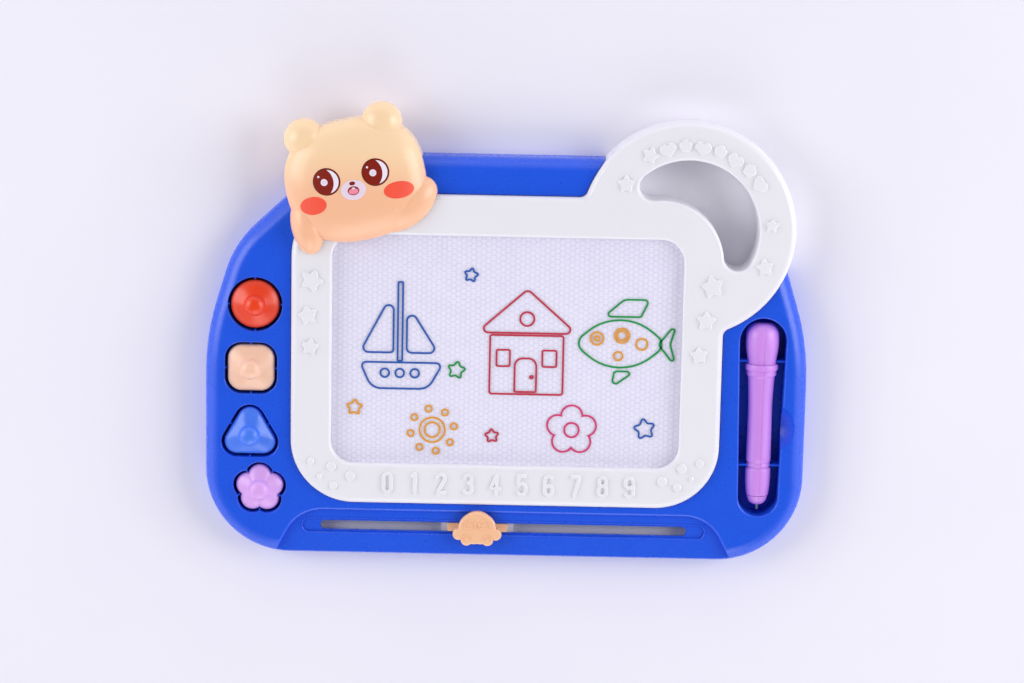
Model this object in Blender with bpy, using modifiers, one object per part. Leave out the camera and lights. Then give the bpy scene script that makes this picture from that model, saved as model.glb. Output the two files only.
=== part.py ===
"""Kids magnetic drawing board, on its back: +Z out of the drawing face, +Y to the top edge, +X right.

Lengths are in metres. Places are measured from the middle of the screen window, on the plane that the
board rests on, and one empty moves the whole board so that its box is centred over the origin.
"""

import math

import bmesh
import bpy
from mathutils import Matrix, Vector

# Clearances and cuts
SEAT_GAP = 0.0003
FIT_GAP = 0.0004
OVERRUN = 0.004
WELD_DISTANCE = 0.000001
ARC_STEP = math.radians(9)
FLAT_ANGLE = math.radians(0.05)
SHARP_ANGLE = math.radians(32)
BORE_STEPS = 10
POST_STEPS = 12

# Housing: the white frame with these margins round it
BODY_SIDE_MARGIN = 0.0520
BODY_TOP_MARGIN = 0.0221
BODY_BOTTOM_MARGIN = 0.0338
BODY_DEPTH = 0.0220
BODY_WALL = 0.0022
BODY_RIM_RADIUS = 0.0100
BODY_RIM_SEGMENTS = 4
# Corners of the right half, bottom first: shares of half the width, of the height and, as radius, the width
BODY_CORNER_SHARES = ((1.0, 0.0, 0.142), (1.0, 0.547, 0.41), (0.907, 0.772, 0.166), (0.5775, 1.0, 0.30))

# Screen and its white frame
WINDOW_WIDTH = 0.2098
WINDOW_HEIGHT = 0.1400
WINDOW_CORNER = 0.0140
WINDOW_EDGE_RADIUS = 0.0020
WINDOW_EDGE_STEPS = 2
FRAME_BAND = 0.0244
FRAME_STAND = 0.0040
FRAME_SEAT_DEPTH = 0.0030
FRAME_RIM_RADIUS = 0.0040
FRAME_RIM_SEGMENTS = 2
FRAME_FILLET = 0.0050
SCREEN_LAP = 0.0070
SCREEN_LEDGE = 0.0060
FILM_DEPTH = 0.0052
FILM_THICKNESS = 0.0003
FILM_EDGE_GAP = 0.0005
FACE_THICKNESS = 0.0005
CORE_THICKNESS = 0.0024
BACK_THICKNESS = 0.0005

# Ring handle, measured from the middle of the window's top right corner arc
HANDLE_OFFSET = (0.0157, 0.0195)
HANDLE_RADIUS = 0.0643
HANDLE_LAP = 0.0050
GRIP_BAND = 0.0220
GRIP_INNER_RADIUS = 0.0375
GRIP_END_RADIUS = 0.0086
GRIP_EDGE_RADIUS = 0.0020

# Rear cover and screws
COVER_THICKNESS = 0.0020
COVER_PAD_HEIGHT = 0.0030
COVER_PAD_RADIUS = 0.0052
SCREW_SHANK_RADIUS = 0.00135
SCREW_HEAD_RADIUS = 0.0028
SCREW_HEAD_HEIGHT = 0.0022
SCREW_LENGTH = 0.0135
SHORT_SCREW_LENGTH = 0.0082
SCREW_SINK = 0.0005
SCREW_POINT = 0.0015
SCREW_HEAD_FACE_SHARE = 0.8
SCREW_HEAD_EDGE_SHARE = 0.33
SCREW_CROSS_SHARE = 0.6
SCREW_CROSS_WIDTH = 0.0008
SCREW_CROSS_DEPTH = 0.0010
BOSS_RADIUS = 0.0034
# Body bosses: share of half the width, share of the height above the bottom edge. One more stands by the ring
BOSS_SHARES = (
    (-0.331, 0.0319), (0.331, 0.0319), (-0.816, 0.066), (0.816, 0.066), (-0.684, 0.491), (0.736, 0.442),
    (-0.816, 0.769), (-0.21, 0.955),
)
BOSS_BESIDE_RING = 0.0042
HANDLE_BOSS_ANGLES = (math.radians(118), math.radians(48), math.radians(-14))
# Frame bosses, on a rectangle that runs inside the frame's edge: shares of half its width and height
FRAME_BOSS_INSET = 0.0083
FRAME_BOSS_SHARES = ((-1.0, -0.548), (1.0, -0.548), (-1.0, 0.351), (0.1925, 1.0))

# Stamps: pocket and grip
STAMP_FACE_GAP = 0.0016
STAMP_POCKET_DEPTH = 0.0130
STAMP_CUP_WALL = 0.0015
STAMP_MAGNET_THICKNESS = 0.0020
STAMP_MAGNET_INSET = 0.0006
STAMP_STAND = 0.0080
STAMP_KNOB_RADIUS = 0.0066
STAMP_KNOB_SHARE = 0.60
ROUND_STAMP_POINTS = 32
SQUARE_STAMP_POINTS = 32
TRIANGLE_STAMP_POINTS = 30
FLOWER_STAMP_POINTS = 40
STAMP_RIB_WIDTH = 0.0008
STAMP_RIB_REACH = 0.0010
ROUND_STAMP_RADIUS = 0.0147
SQUARE_STAMP_APOTHEM = 0.0141
SQUARE_STAMP_CORNER = 0.0084
TRIANGLE_STAMP_APOTHEM = 0.0122
TRIANGLE_STAMP_CORNER = 0.0077
FLOWER_STAMP_PETAL = 0.0072
FLOWER_STAMP_REACH = 0.0075
# Places in the left margin: share of the margin outwards, share of the body's height from its bottom edge
ROUND_STAMP_SHARES = (0.4173, 0.6293)
SQUARE_STAMP_SHARES = (0.4635, 0.4700)
TRIANGLE_STAMP_SHARES = (0.4750, 0.3032)
FLOWER_STAMP_SHARES = (0.3596, 0.1663)
# Rings of a grip from its foot up: shares of the height, of the outline, and of the way to the knob's circle
STAMP_RING_SHARES = (
    (0.0, 0.97, 0.0), (0.42, 1.0, 0.0), (0.49, 0.98, 0.03), (0.57, 0.84, 0.30), (0.66, 0.66, 0.90),
    (0.71, 0.60, 1.0), (0.83, 0.58, 1.0), (0.94, 0.44, 1.0), (1.0, 0.20, 1.0),
)

# Pen and its trough, in the right margin between the handle and the bottom edge
PEN_MARGIN_SHARE = 0.4712
PEN_ABOVE_RING_FOOT = 0.0087
PEN_ABOVE_EDGE = 0.0349
PEN_RADIUS = 0.0101
PEN_STEPS = 16
# Turned profile from the bulb end: share of the length, share of the largest radius
PEN_CAP_SHARES = (
    (0.0, 0.0), (0.006, 0.30), (0.022, 0.60), (0.045, 0.85), (0.075, 0.985), (0.10, 1.0), (0.135, 0.955),
    (0.175, 0.855), (0.205, 0.81), (0.219, 0.81),
)
PEN_BARREL_SHARES = (
    (0.222, 0.97), (0.226, 0.99), (0.252, 0.99), (0.255, 0.905), (0.282, 0.905), (0.287, 0.825),
    (0.34, 0.775), (0.46, 0.724), (0.60, 0.725), (0.752, 0.75), (0.756, 0.70), (0.764, 0.70),
    (0.768, 0.745), (0.774, 0.745), (0.778, 0.70), (0.786, 0.70), (0.79, 0.76), (0.83, 0.765), (0.88, 0.715),
    (0.92, 0.61), (0.938, 0.53),
)
PEN_TIP_SHARES = ((0.941, 0.51), (0.96, 0.39), (0.98, 0.25), (0.993, 0.14))
NIB_RADIUS = 0.0009
NIB_REACH = 0.0022
NIB_SEAT_SHARE = 0.069
TROUGH_TOP_RADIUS = 0.0140
TROUGH_TOP_GAP = 0.0032
TROUGH_FOOT_RADIUS = 0.0120
TROUGH_FOOT_GAP = 0.0053
TROUGH_FLOOR = 0.0039
TROUGH_WALL = 0.0015
CLIP_SHARES = (0.205, 0.771)
CLIP_THICKNESS = 0.0010
CLIP_GAP = 0.0004
CLIP_ABOVE_AXIS = 0.0042
SCOOP_RADIUS = 0.0160
SCOOP_MOUTH_RADIUS = 0.0150
SCOOP_BESIDE_PEN = 0.0058
SCOOP_SHARE = 0.561

# Slider track along the bottom edge
TRACK_BELOW_FRAME = 0.0055
TRACK_END_MARGIN = 0.0358
TRACK_SPREAD = 0.0211
TRACK_CORNER = 0.0250
TRACK_DEPTH = 0.0026
TRACK_FALL = 0.0020
TRACK_SKIN_DEPTH = 0.0066
SLOT_BELOW_FRAME = 0.0156
SLOT_END_MARGIN = 0.0131
SLOT_WIDTH = 0.0059
GROOVE_END_REACH = 0.0109
GROOVE_WIDTH = 0.0082
GROOVE_DEPTH = 0.0008
GROOVE_RIM_WIDTH = 0.0008
GROOVE_RIM_HEIGHT = 0.0004

# Eraser slider
SLIDER_REST_X = -0.01575
SHOE_LENGTH = 0.0365
SHOE_DEPTH = 0.0042
KNOB_FOOT_STAND = 0.0003
KNOB_STAND = 0.0042
KNOB_EDGE_RADIUS = 0.0008
NECK_LENGTH = 0.0180
# Car-shaped knob as overlapping discs: x, y and radius as shares of half the knob's width
KNOB_HALF_WIDTH = 0.01485
KNOB_DISC_SHARES = (
    (0.0, 0.12, 0.668), (-0.13, 0.06, 0.64), (0.13, 0.06, 0.64), (-0.76, -0.175, 0.236),
    (0.76, -0.175, 0.236), (-0.424, -0.404, 0.242), (0.424, -0.404, 0.242),
)
KNOB_POINTS = 48
ARM_WIDTH = 0.0160
ARM_THICKNESS = 0.0029
ARM_HEAD_LENGTH = 0.0440
ARM_HEAD_WIDTH = 0.0124
MAGNET_WIDTH = 0.0110
MAGNET_END_GAP = 0.0040
MAGNET_THICKNESS = 0.0028
MAGNET_SCREEN_GAP = 0.0006
RAIL_WIDTH = 0.0100
RAIL_END_REACH = 0.0207

# Bear on the top left corner, measured from the middle of the window's corner arc there
BEAR_OFFSET = (-0.0006, 0.0462)
BEAR_TILT = math.radians(12.5)
BEAR_HALF_WIDTH = 0.0418
BEAR_HALF_HEIGHT = 0.0362
BEAR_BASE_STAND = 0.0020
BEAR_DOME_HEIGHT = 0.0150
BEAR_SKIRT_DEPTH = 0.0110
BEAR_ROUNDNESS = 2.4
BEAR_WALL = 0.0022
BEAR_STEPS = 36
BEAR_DOME_RINGS = 6
BEAR_EAR_RADIUS = 0.0120
BEAR_EAR_HEIGHT = 0.0095
# Ears, paws and posts in the board's axes: x and y from the head's middle, as shares of its half width
BEAR_EAR_SHARES = ((-0.73, 0.577), (0.364, 0.8417))
BEAR_PAW_SHARES = ((-0.677, -0.655), (0.708, -0.332))
BEAR_PAW_HALF_LENGTHS = (0.0182, 0.0221)
BEAR_PAW_HALF_WIDTHS = (0.0098, 0.0133)
BEAR_PAW_ANGLES = (math.radians(-79), math.radians(39))
BEAR_PAW_HEIGHT = 0.0080
BEAR_POST_SHARES = ((-0.22, -0.385), (0.58, -0.365))

# Worked out from the values above
WINDOW_HALF = Vector((WINDOW_WIDTH / 2, WINDOW_HEIGHT / 2))
CORNER_MIDDLE = WINDOW_HALF - Vector((WINDOW_CORNER, WINDOW_CORNER))
HANDLE_MIDDLE = CORNER_MIDDLE + Vector(HANDLE_OFFSET)
FRAME_HALF = WINDOW_HALF + Vector((FRAME_BAND, FRAME_BAND))
FRAME_CORNER = WINDOW_CORNER + FRAME_BAND
BODY_WIDTH = 2 * (FRAME_HALF.x + BODY_SIDE_MARGIN)
BODY_HEIGHT = 2 * FRAME_HALF.y + BODY_TOP_MARGIN + BODY_BOTTOM_MARGIN
BODY_BELOW_WINDOW = FRAME_HALF.y + BODY_BOTTOM_MARGIN
FRAME_TOP = BODY_DEPTH + FRAME_STAND
FRAME_SEAT = BODY_DEPTH - FRAME_SEAT_DEPTH
FRAME_FOOT = FRAME_SEAT + SEAT_GAP
FRAME_SKIN = FRAME_TOP - BODY_WALL
COVER_SEAT = COVER_THICKNESS + SEAT_GAP
FILM_TOP = FRAME_TOP - FILM_DEPTH
FILM_FOOT = FILM_TOP - FILM_THICKNESS
FACE_TOP = FILM_FOOT - SEAT_GAP
CORE_TOP = FACE_TOP - FACE_THICKNESS - SEAT_GAP
BACK_TOP = CORE_TOP - CORE_THICKNESS - SEAT_GAP
SCREEN_FOOT = BACK_TOP - BACK_THICKNESS
SCREEN_SEAT = SCREEN_FOOT - SEAT_GAP
LEDGE_FOOT = SCREEN_SEAT - BODY_WALL
PAD_TOP = COVER_THICKNESS + COVER_PAD_HEIGHT
BOSS_FOOT = PAD_TOP + SEAT_GAP
GRIP_OUTER_RADIUS = HANDLE_RADIUS - GRIP_BAND
STAMP_FLOOR = BODY_DEPTH - STAMP_POCKET_DEPTH
STAMP_HEIGHT = BODY_DEPTH + STAMP_STAND
PEN_X = FRAME_HALF.x + PEN_MARGIN_SHARE * BODY_SIDE_MARGIN
PEN_TOP_Y = HANDLE_MIDDLE.y - HANDLE_RADIUS + PEN_ABOVE_RING_FOOT
PEN_LENGTH = PEN_TOP_Y + BODY_BELOW_WINDOW - PEN_ABOVE_EDGE
PEN_Z = TROUGH_FLOOR + SEAT_GAP + PEN_RADIUS
NIB_LENGTH = NIB_REACH + NIB_SEAT_SHARE * PEN_LENGTH
CLIP_HEIGHT = PEN_Z + CLIP_ABOVE_AXIS
TRACK_SKIN = BODY_DEPTH - TRACK_SKIN_DEPTH
SHOE_TOP = BODY_DEPTH - SHOE_DEPTH
KNOB_FOOT = BODY_DEPTH + KNOB_FOOT_STAND
KNOB_TOP = BODY_DEPTH + KNOB_STAND
BEAR_BASE = BODY_DEPTH + BEAR_BASE_STAND
BEAR_SKIRT = BODY_DEPTH - BEAR_SKIRT_DEPTH
SCOOP_AT = (PEN_X + SCOOP_BESIDE_PEN, PEN_TOP_Y - SCOOP_SHARE * PEN_LENGTH)
TRACK_TOP_Y = -FRAME_HALF.y - TRACK_BELOW_FRAME
TRACK_HALF_FOOT = BODY_WIDTH / 2 - TRACK_END_MARGIN
TRACK_HALF_TOP = TRACK_HALF_FOOT - TRACK_SPREAD
SLOT_Y = -FRAME_HALF.y - SLOT_BELOW_FRAME
SLOT_LENGTH = 2 * (TRACK_HALF_TOP - SLOT_END_MARGIN)
GROOVE_LENGTH = SLOT_LENGTH + 2 * GROOVE_END_REACH
RAIL_LENGTH = SLOT_LENGTH + 2 * RAIL_END_REACH
MAGNET_LENGTH = WINDOW_HEIGHT - 2 * MAGNET_END_GAP
BEAR_AT = Vector((-CORNER_MIDDLE.x, CORNER_MIDDLE.y)) + Vector(BEAR_OFFSET)
TRACK_SLOPE = TRACK_FALL / (BODY_BELOW_WINDOW + TRACK_TOP_Y)
PAD_OF_ARM_TOP = TRACK_SKIN - 2 * SEAT_GAP
MAGNET_TOP = SCREEN_FOOT - MAGNET_SCREEN_GAP
ARM_TOP = MAGNET_TOP - MAGNET_THICKNESS - SEAT_GAP
ARM_FOOT = ARM_TOP - ARM_THICKNESS
RAIL_TOP = ARM_FOOT - SEAT_GAP
SEAT_SCREW_FOOT = FRAME_SEAT - BODY_WALL - SEAT_GAP - SCREW_HEAD_HEIGHT
HOLE_RADIUS = SCREW_SHANK_RADIUS + SEAT_GAP
COUNTERBORE_RADIUS = SCREW_HEAD_RADIUS + FIT_GAP


def new_collection(name):
    group = bpy.data.collections.new(name)
    bpy.context.scene.collection.children.link(group)
    return group


def plastic(name, colour, roughness, metallic=0.0):
    """A Principled material whose colour is an sRGB hex value."""
    made = bpy.data.materials.new(name)
    made.use_nodes = True
    shader = made.node_tree.nodes["Principled BSDF"]
    channels = [int(colour[at : at + 2], 16) / 255 for at in (1, 3, 5)]
    linear = [c / 12.92 if c <= 0.04045 else ((c + 0.055) / 1.055) ** 2.4 for c in channels]
    shader.inputs["Base Color"].default_value = (*linear, 1.0)
    shader.inputs["Roughness"].default_value = roughness
    shader.inputs["Metallic"].default_value = metallic
    return made


def add_object(name, mesh, group, at=(0.0, 0.0, 0.0)):
    made = bpy.data.objects.new(name, mesh)
    made.location = at
    made.parent = board
    group.objects.link(made)
    return made


def finish(part, surface):
    """Gives a visible piece its material and smooth shading with sharp edges kept."""
    part.data.materials.clear()
    part.data.materials.append(surface)
    part.data.shade_smooth()
    part.data.set_sharp_from_angle(angle=SHARP_ANGLE)
    return part


def evaluated_mesh(source, name):
    graph = bpy.context.evaluated_depsgraph_get()
    return bpy.data.meshes.new_from_object(source.evaluated_get(graph), depsgraph=graph)


def arc_points(middle, radius, start, end, steps):
    """Points on an arc from angle start to angle end, both ends included."""
    angles = [start + (end - start) * step / steps for step in range(steps + 1)]
    return [middle + radius * Vector((math.cos(angle), math.sin(angle))) for angle in angles]


def rounded_outline(corners, inset=0.0):
    """A closed anticlockwise outline round corners (x, y, radius), moved inwards by inset."""
    places = [Vector(corner[:2]) for corner in corners]
    along = [(places[(k + 1) % len(places)] - places[k]).normalized() for k in range(len(places))]
    points = []
    for k, (place, corner) in enumerate(zip(places, corners)):
        before, after = along[k - 1], along[k]
        turn = math.atan2(before.cross(after), before.dot(after))
        inward_before = Vector((-before.y, before.x))
        bend = (inward_before + Vector((-after.y, after.x))).normalized()
        moved = place + bend * (inset / math.cos(turn / 2))
        side = 1 if turn > 0 else -1
        radius = corner[2] - side * inset
        start = moved - before * (radius * math.tan(abs(turn) / 2))
        middle = start + inward_before * (side * radius)
        angle = math.atan2(start.y - middle.y, start.x - middle.x)
        steps = max(2, math.ceil(abs(turn) / ARC_STEP))
        points += arc_points(middle, radius, angle, angle + turn, steps)
    return points


def body_outline(inset=0.0):
    half = BODY_WIDTH / 2
    right = [
        (across * half, up * BODY_HEIGHT - BODY_BELOW_WINDOW, radius * BODY_WIDTH)
        for across, up, radius in BODY_CORNER_SHARES
    ]
    left = [(-x, y, radius) for x, y, radius in reversed(right)]
    return rounded_outline(right + left, inset)


def box_outline(half_width, half_height, corner, middle=(0.0, 0.0)):
    signs = ((-1, -1), (1, -1), (1, 1), (-1, 1))
    x, y = middle
    return rounded_outline([(x + h * half_width, y + v * half_height, corner) for h, v in signs])


def window_outline(grow=0.0):
    return box_outline(WINDOW_HALF.x + grow, WINDOW_HALF.y + grow, WINDOW_CORNER + grow)


def frame_outline(inset=0.0):
    """The white frame with the ring of the handle growing out of its top right corner."""
    w, h, f = FRAME_HALF.x, FRAME_HALF.y, FRAME_FILLET
    reach = HANDLE_RADIUS + f
    right = Vector((w + f, HANDLE_MIDDLE.y - math.sqrt(reach**2 - (w + f - HANDLE_MIDDLE.x) ** 2)))
    top = Vector((HANDLE_MIDDLE.x - math.sqrt(reach**2 - (h + f - HANDLE_MIDDLE.y) ** 2), h + f))
    to_right = right - HANDLE_MIDDLE
    to_top = top - HANDLE_MIDDLE
    right_angle = math.atan2(to_right.y, to_right.x)
    top_angle = math.atan2(to_top.y, to_top.x)
    turn = math.radians(90)
    corner = FRAME_CORNER - inset
    inner = FRAME_HALF - Vector((FRAME_CORNER, FRAME_CORNER))
    points = arc_points(Vector((-inner.x, -inner.y)), corner, -2 * turn, -turn, 12)
    points += arc_points(Vector((inner.x, -inner.y)), corner, -turn, 0.0, 12)
    points += arc_points(right, f + inset, 2 * turn, right_angle + 2 * turn, 3)
    points += arc_points(HANDLE_MIDDLE, HANDLE_RADIUS - inset, right_angle, top_angle, 28)[1:-1]
    points += arc_points(top, f + inset, top_angle - 2 * turn, -turn, 3)
    points += arc_points(Vector((-inner.x, inner.y)), corner, turn, 2 * turn, 12)
    return points


def handle_box_outline(inset=0.0):
    """The deep part of the handle: the ring outside a line that runs HANDLE_LAP inside the frame's edge."""
    edge = FRAME_HALF - Vector((HANDLE_LAP, HANDLE_LAP)) + Vector((inset, inset))
    radius = HANDLE_RADIUS - inset
    left = HANDLE_MIDDLE.x - math.sqrt(radius**2 - (edge.y - HANDLE_MIDDLE.y) ** 2)
    low = HANDLE_MIDDLE.y - math.sqrt(radius**2 - (edge.x - HANDLE_MIDDLE.x) ** 2)
    start = math.atan2(low - HANDLE_MIDDLE.y, edge.x - HANDLE_MIDDLE.x)
    end = math.atan2(edge.y - HANDLE_MIDDLE.y, left - HANDLE_MIDDLE.x)
    points = arc_points(HANDLE_MIDDLE, radius, start, end, 26)
    points += arc_points(CORNER_MIDDLE, edge.x - CORNER_MIDDLE.x, math.radians(90), 0.0, 12)
    return points


def grip_outline(grow=0.0):
    """The crescent hole of the handle: two unlike arcs joined by round ends."""
    outer = GRIP_OUTER_RADIUS - GRIP_END_RADIUS
    inner = GRIP_INNER_RADIUS + GRIP_END_RADIUS
    apart = CORNER_MIDDLE - HANDLE_MIDDLE
    along = (outer**2 - inner**2 + apart.length_squared) / (2 * apart.length)
    across = math.sqrt(outer**2 - along**2)
    toward = apart.normalized()
    side = Vector((-toward.y, toward.x))
    low = HANDLE_MIDDLE + toward * along + side * across
    high = HANDLE_MIDDLE + toward * along - side * across
    if low.y > high.y:
        low, high = high, low

    def angle(start, end):
        return math.atan2(end.y - start.y, end.x - start.x)

    full = math.radians(360)
    end_radius = GRIP_END_RADIUS + grow
    inner_radius = GRIP_INNER_RADIUS - grow
    from_low, from_high = angle(HANDLE_MIDDLE, low), angle(HANDLE_MIDDLE, high)
    low_start, high_end = angle(low, CORNER_MIDDLE), angle(high, CORNER_MIDDLE)
    points = arc_points(HANDLE_MIDDLE, GRIP_OUTER_RADIUS + grow, from_low, from_high, 20)
    points += arc_points(high, end_radius, from_high, from_high + (high_end - from_high) % full, 10)[1:]
    inner_ends = (angle(CORNER_MIDDLE, high), angle(CORNER_MIDDLE, low))
    points += arc_points(CORNER_MIDDLE, inner_radius, *inner_ends, 12)[1:]
    points += arc_points(low, end_radius, low_start, low_start + (from_low - low_start) % full, 10)[1:-1]
    return points


def obround_outline(length, width, middle=(0.0, 0.0)):
    return box_outline(length / 2, width / 2, width / 2, middle)


def trough_outline(grow=0.0):
    """Two unlike circles and the lines that touch both."""
    top = Vector((PEN_X, PEN_TOP_Y + TROUGH_TOP_GAP - TROUGH_TOP_RADIUS))
    foot_y = PEN_TOP_Y - PEN_LENGTH - TROUGH_FOOT_GAP + TROUGH_FOOT_RADIUS
    foot = Vector((PEN_X, foot_y))
    lean = math.asin((TROUGH_TOP_RADIUS - TROUGH_FOOT_RADIUS) / (top.y - foot.y))
    half = math.radians(180)
    points = arc_points(top, TROUGH_TOP_RADIUS + grow, -lean, half + lean, 18)
    points += arc_points(foot, TROUGH_FOOT_RADIUS + grow, half + lean, 2 * half - lean, 16)
    return points


def track_outline(grow=0.0):
    """The sloped facet round the slot: a flat top edge, round shoulders, and ends that run out below."""
    foot = -BODY_BELOW_WINDOW - OVERRUN * 2
    corners = (
        (-TRACK_HALF_FOOT, foot, 0.0), (TRACK_HALF_FOOT, foot, 0.0),
        (TRACK_HALF_TOP, TRACK_TOP_Y, TRACK_CORNER), (-TRACK_HALF_TOP, TRACK_TOP_Y, TRACK_CORNER),
    )
    return rounded_outline(corners, -grow)


def polygon_reach(angle, sides, apothem, corner):
    """How far a regular polygon with round corners and one corner at the top reaches at this angle."""
    half = math.pi / sides
    from_corner = abs((angle - math.pi / 2 + half) % (2 * half) - half)
    middle = (apothem - corner) / math.cos(half)
    touch = math.atan2(corner * math.sin(half), middle + corner * math.cos(half))
    if from_corner < touch:
        across = middle * math.sin(from_corner)
        return middle * math.cos(from_corner) + math.sqrt(corner**2 - across**2)
    return apothem / math.cos(half - from_corner)


def round_reach(angle):
    return ROUND_STAMP_RADIUS


def square_reach(angle):
    return polygon_reach(angle + math.radians(45), 4, SQUARE_STAMP_APOTHEM, SQUARE_STAMP_CORNER)


def triangle_reach(angle):
    return polygon_reach(angle, 3, TRIANGLE_STAMP_APOTHEM, TRIANGLE_STAMP_CORNER)


def flower_reach(angle):
    half = math.pi / 5
    from_petal = (angle - math.pi / 2 + half) % (2 * half) - half
    across = FLOWER_STAMP_REACH * math.sin(from_petal)
    return FLOWER_STAMP_REACH * math.cos(from_petal) + math.sqrt(FLOWER_STAMP_PETAL**2 - across**2)


def turn_angles(count):
    """Evenly spaced angles round a whole turn, from the +Y side."""
    return [math.pi / 2 + 2 * math.pi * step / count for step in range(count)]


def polar_outline(reach, count, grow=0.0):
    points = []
    for angle in turn_angles(count):
        points.append((reach(angle) + grow) * Vector((math.cos(angle), math.sin(angle))))
    return points


def prism(name, loop, low, high, group, middle=(0.0, 0.0)):
    """A flat outline given its thickness: a filled 2D curve, extruded, made a mesh and welded."""
    curve = bpy.data.curves.new(name, "CURVE")
    curve.dimensions = "2D"
    curve.fill_mode = "BOTH"
    curve.extrude = (high - low) / 2
    spline = curve.splines.new("POLY")
    spline.points.add(len(loop) - 1)
    for point, place in zip(spline.points, loop):
        point.co = (place[0], place[1], 0.0, 1.0)
    spline.use_cyclic_u = True
    guide = add_object(name, curve, group, (*middle, (low + high) / 2))
    bpy.context.view_layer.update()
    mesh = evaluated_mesh(guide, name)
    work = bmesh.new()
    work.from_mesh(mesh)
    bmesh.ops.remove_doubles(work, verts=work.verts, dist=WELD_DISTANCE)
    bmesh.ops.dissolve_limit(work, angle_limit=FLAT_ANGLE, verts=work.verts, edges=work.edges)
    bmesh.ops.recalc_face_normals(work, faces=work.faces)
    work.to_mesh(mesh)
    work.free()
    made = add_object(name, mesh, group, guide.location)
    bpy.data.objects.remove(guide)
    made.name = name
    return made


def round_rim(part, radius, segments):
    """Rounds the upper rim of a prism."""
    work = bmesh.new()
    work.from_mesh(part.data)
    top = max(vert.co.z for vert in work.verts)
    rim = [edge for edge in work.edges if all(top - vert.co.z < WELD_DISTANCE for vert in edge.verts)]
    bmesh.ops.bevel(
        work, geom=rim, offset=radius, segments=segments, profile=0.5, affect="EDGES", material=-1
    )
    work.to_mesh(part.data)
    work.free()
    return part


def loft(name, rings, group, at=(0.0, 0.0, 0.0)):
    """A closed solid through unlike sections: rings of points and a height, with equal counts, foot first."""
    work = bmesh.new()
    loops = [[work.verts.new((point[0], point[1], height)) for point in points] for points, height in rings]
    for lower, upper in zip(loops, loops[1:]):
        for k in range(len(lower)):
            work.faces.new((lower[k - 1], lower[k], upper[k], upper[k - 1]))
    work.faces.new(reversed(loops[0]))
    work.faces.new(loops[-1])
    bmesh.ops.recalc_face_normals(work, faces=work.faces)
    mesh = bpy.data.meshes.new(name)
    work.to_mesh(mesh)
    work.free()
    return add_object(name, mesh, group, at)


def flared_prism(name, outline, low, high, flare, group):
    """A cutter whose mouth widens in a quarter circle, which rounds the edge of what it cuts."""
    rings = [(outline(0.0), low)]
    for step in range(WINDOW_EDGE_STEPS + 1):
        angle = math.radians(90) * step / WINDOW_EDGE_STEPS
        rings.append((outline(flare * (1 - math.cos(angle))), high - flare + flare * math.sin(angle)))
    rings.append((outline(flare), high + OVERRUN))
    return loft(name, rings, group)


def box(name, low, high, group):
    """A box between two corners, its mesh made from a unit cube."""
    size = Vector(high) - Vector(low)
    mesh = bpy.data.meshes.new(name)
    work = bmesh.new()
    bmesh.ops.create_cube(work, size=1.0, matrix=Matrix.Diagonal((*size, 1.0)))
    work.to_mesh(mesh)
    work.free()
    return add_object(name, mesh, group, (Vector(low) + Vector(high)) / 2)


def cylinder(name, middle, radius, low, high, group, steps=12):
    mesh = bpy.data.meshes.new(name)
    work = bmesh.new()
    bmesh.ops.create_cone(
        work, cap_ends=True, segments=steps, radius1=radius, radius2=radius, depth=high - low
    )
    work.to_mesh(mesh)
    work.free()
    return add_object(name, mesh, group, (*middle, (low + high) / 2))


def ball(name, at, radius, group, steps=(24, 12)):
    """A sphere with a radius for each axis."""
    mesh = bpy.data.meshes.new(name)
    work = bmesh.new()
    bmesh.ops.create_uvsphere(work, u_segments=steps[0], v_segments=steps[1], radius=1.0)
    bmesh.ops.scale(work, vec=radius, verts=work.verts)
    work.to_mesh(mesh)
    work.free()
    return add_object(name, mesh, group, at)


def combine(part, operation, others):
    """Notes a Boolean, to be added once every shape is made: each update works them all out again."""
    planned.append((part, operation, others))
    return part


def add_boolean(part, operation, others):
    """Adds a Boolean for one object, or for a list of them put in a collection of their own."""
    modifier = part.modifiers.new(f"{operation.lower()} {len(part.modifiers)}", "BOOLEAN")
    modifier.operation = operation
    modifier.solver = "EXACT"
    if isinstance(others, list):
        group = bpy.data.collections.new(f"{part.name} {modifier.name}")
        cutters.children.link(group)
        for other in others:
            group.objects.link(other)
            cutters.objects.unlink(other)
        modifier.operand_type = "COLLECTION"
        modifier.collection = group
    else:
        modifier.object = others


def hide_cutters(group):
    for cutter in group.all_objects:
        cutter.hide_render = True
        cutter.display_type = "WIRE"


def turned_mesh(name, profile, steps):
    """A profile of (radius, height) points, top to bottom on the +X side, turned about Z."""
    line = bpy.data.meshes.new(name)
    line.from_pydata([(radius, 0.0, height) for radius, height in profile],
                     [(k, k + 1) for k in range(len(profile) - 1)], [])
    turned = add_object(name, line, cutters)
    screw = turned.modifiers.new("turn", "SCREW")
    screw.steps = steps
    screw.render_steps = steps
    screw.use_merge_vertices = True
    screw.merge_threshold = WELD_DISTANCE
    bpy.context.view_layer.update()
    mesh = evaluated_mesh(turned, name)
    bpy.data.objects.remove(turned)
    return mesh


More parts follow.
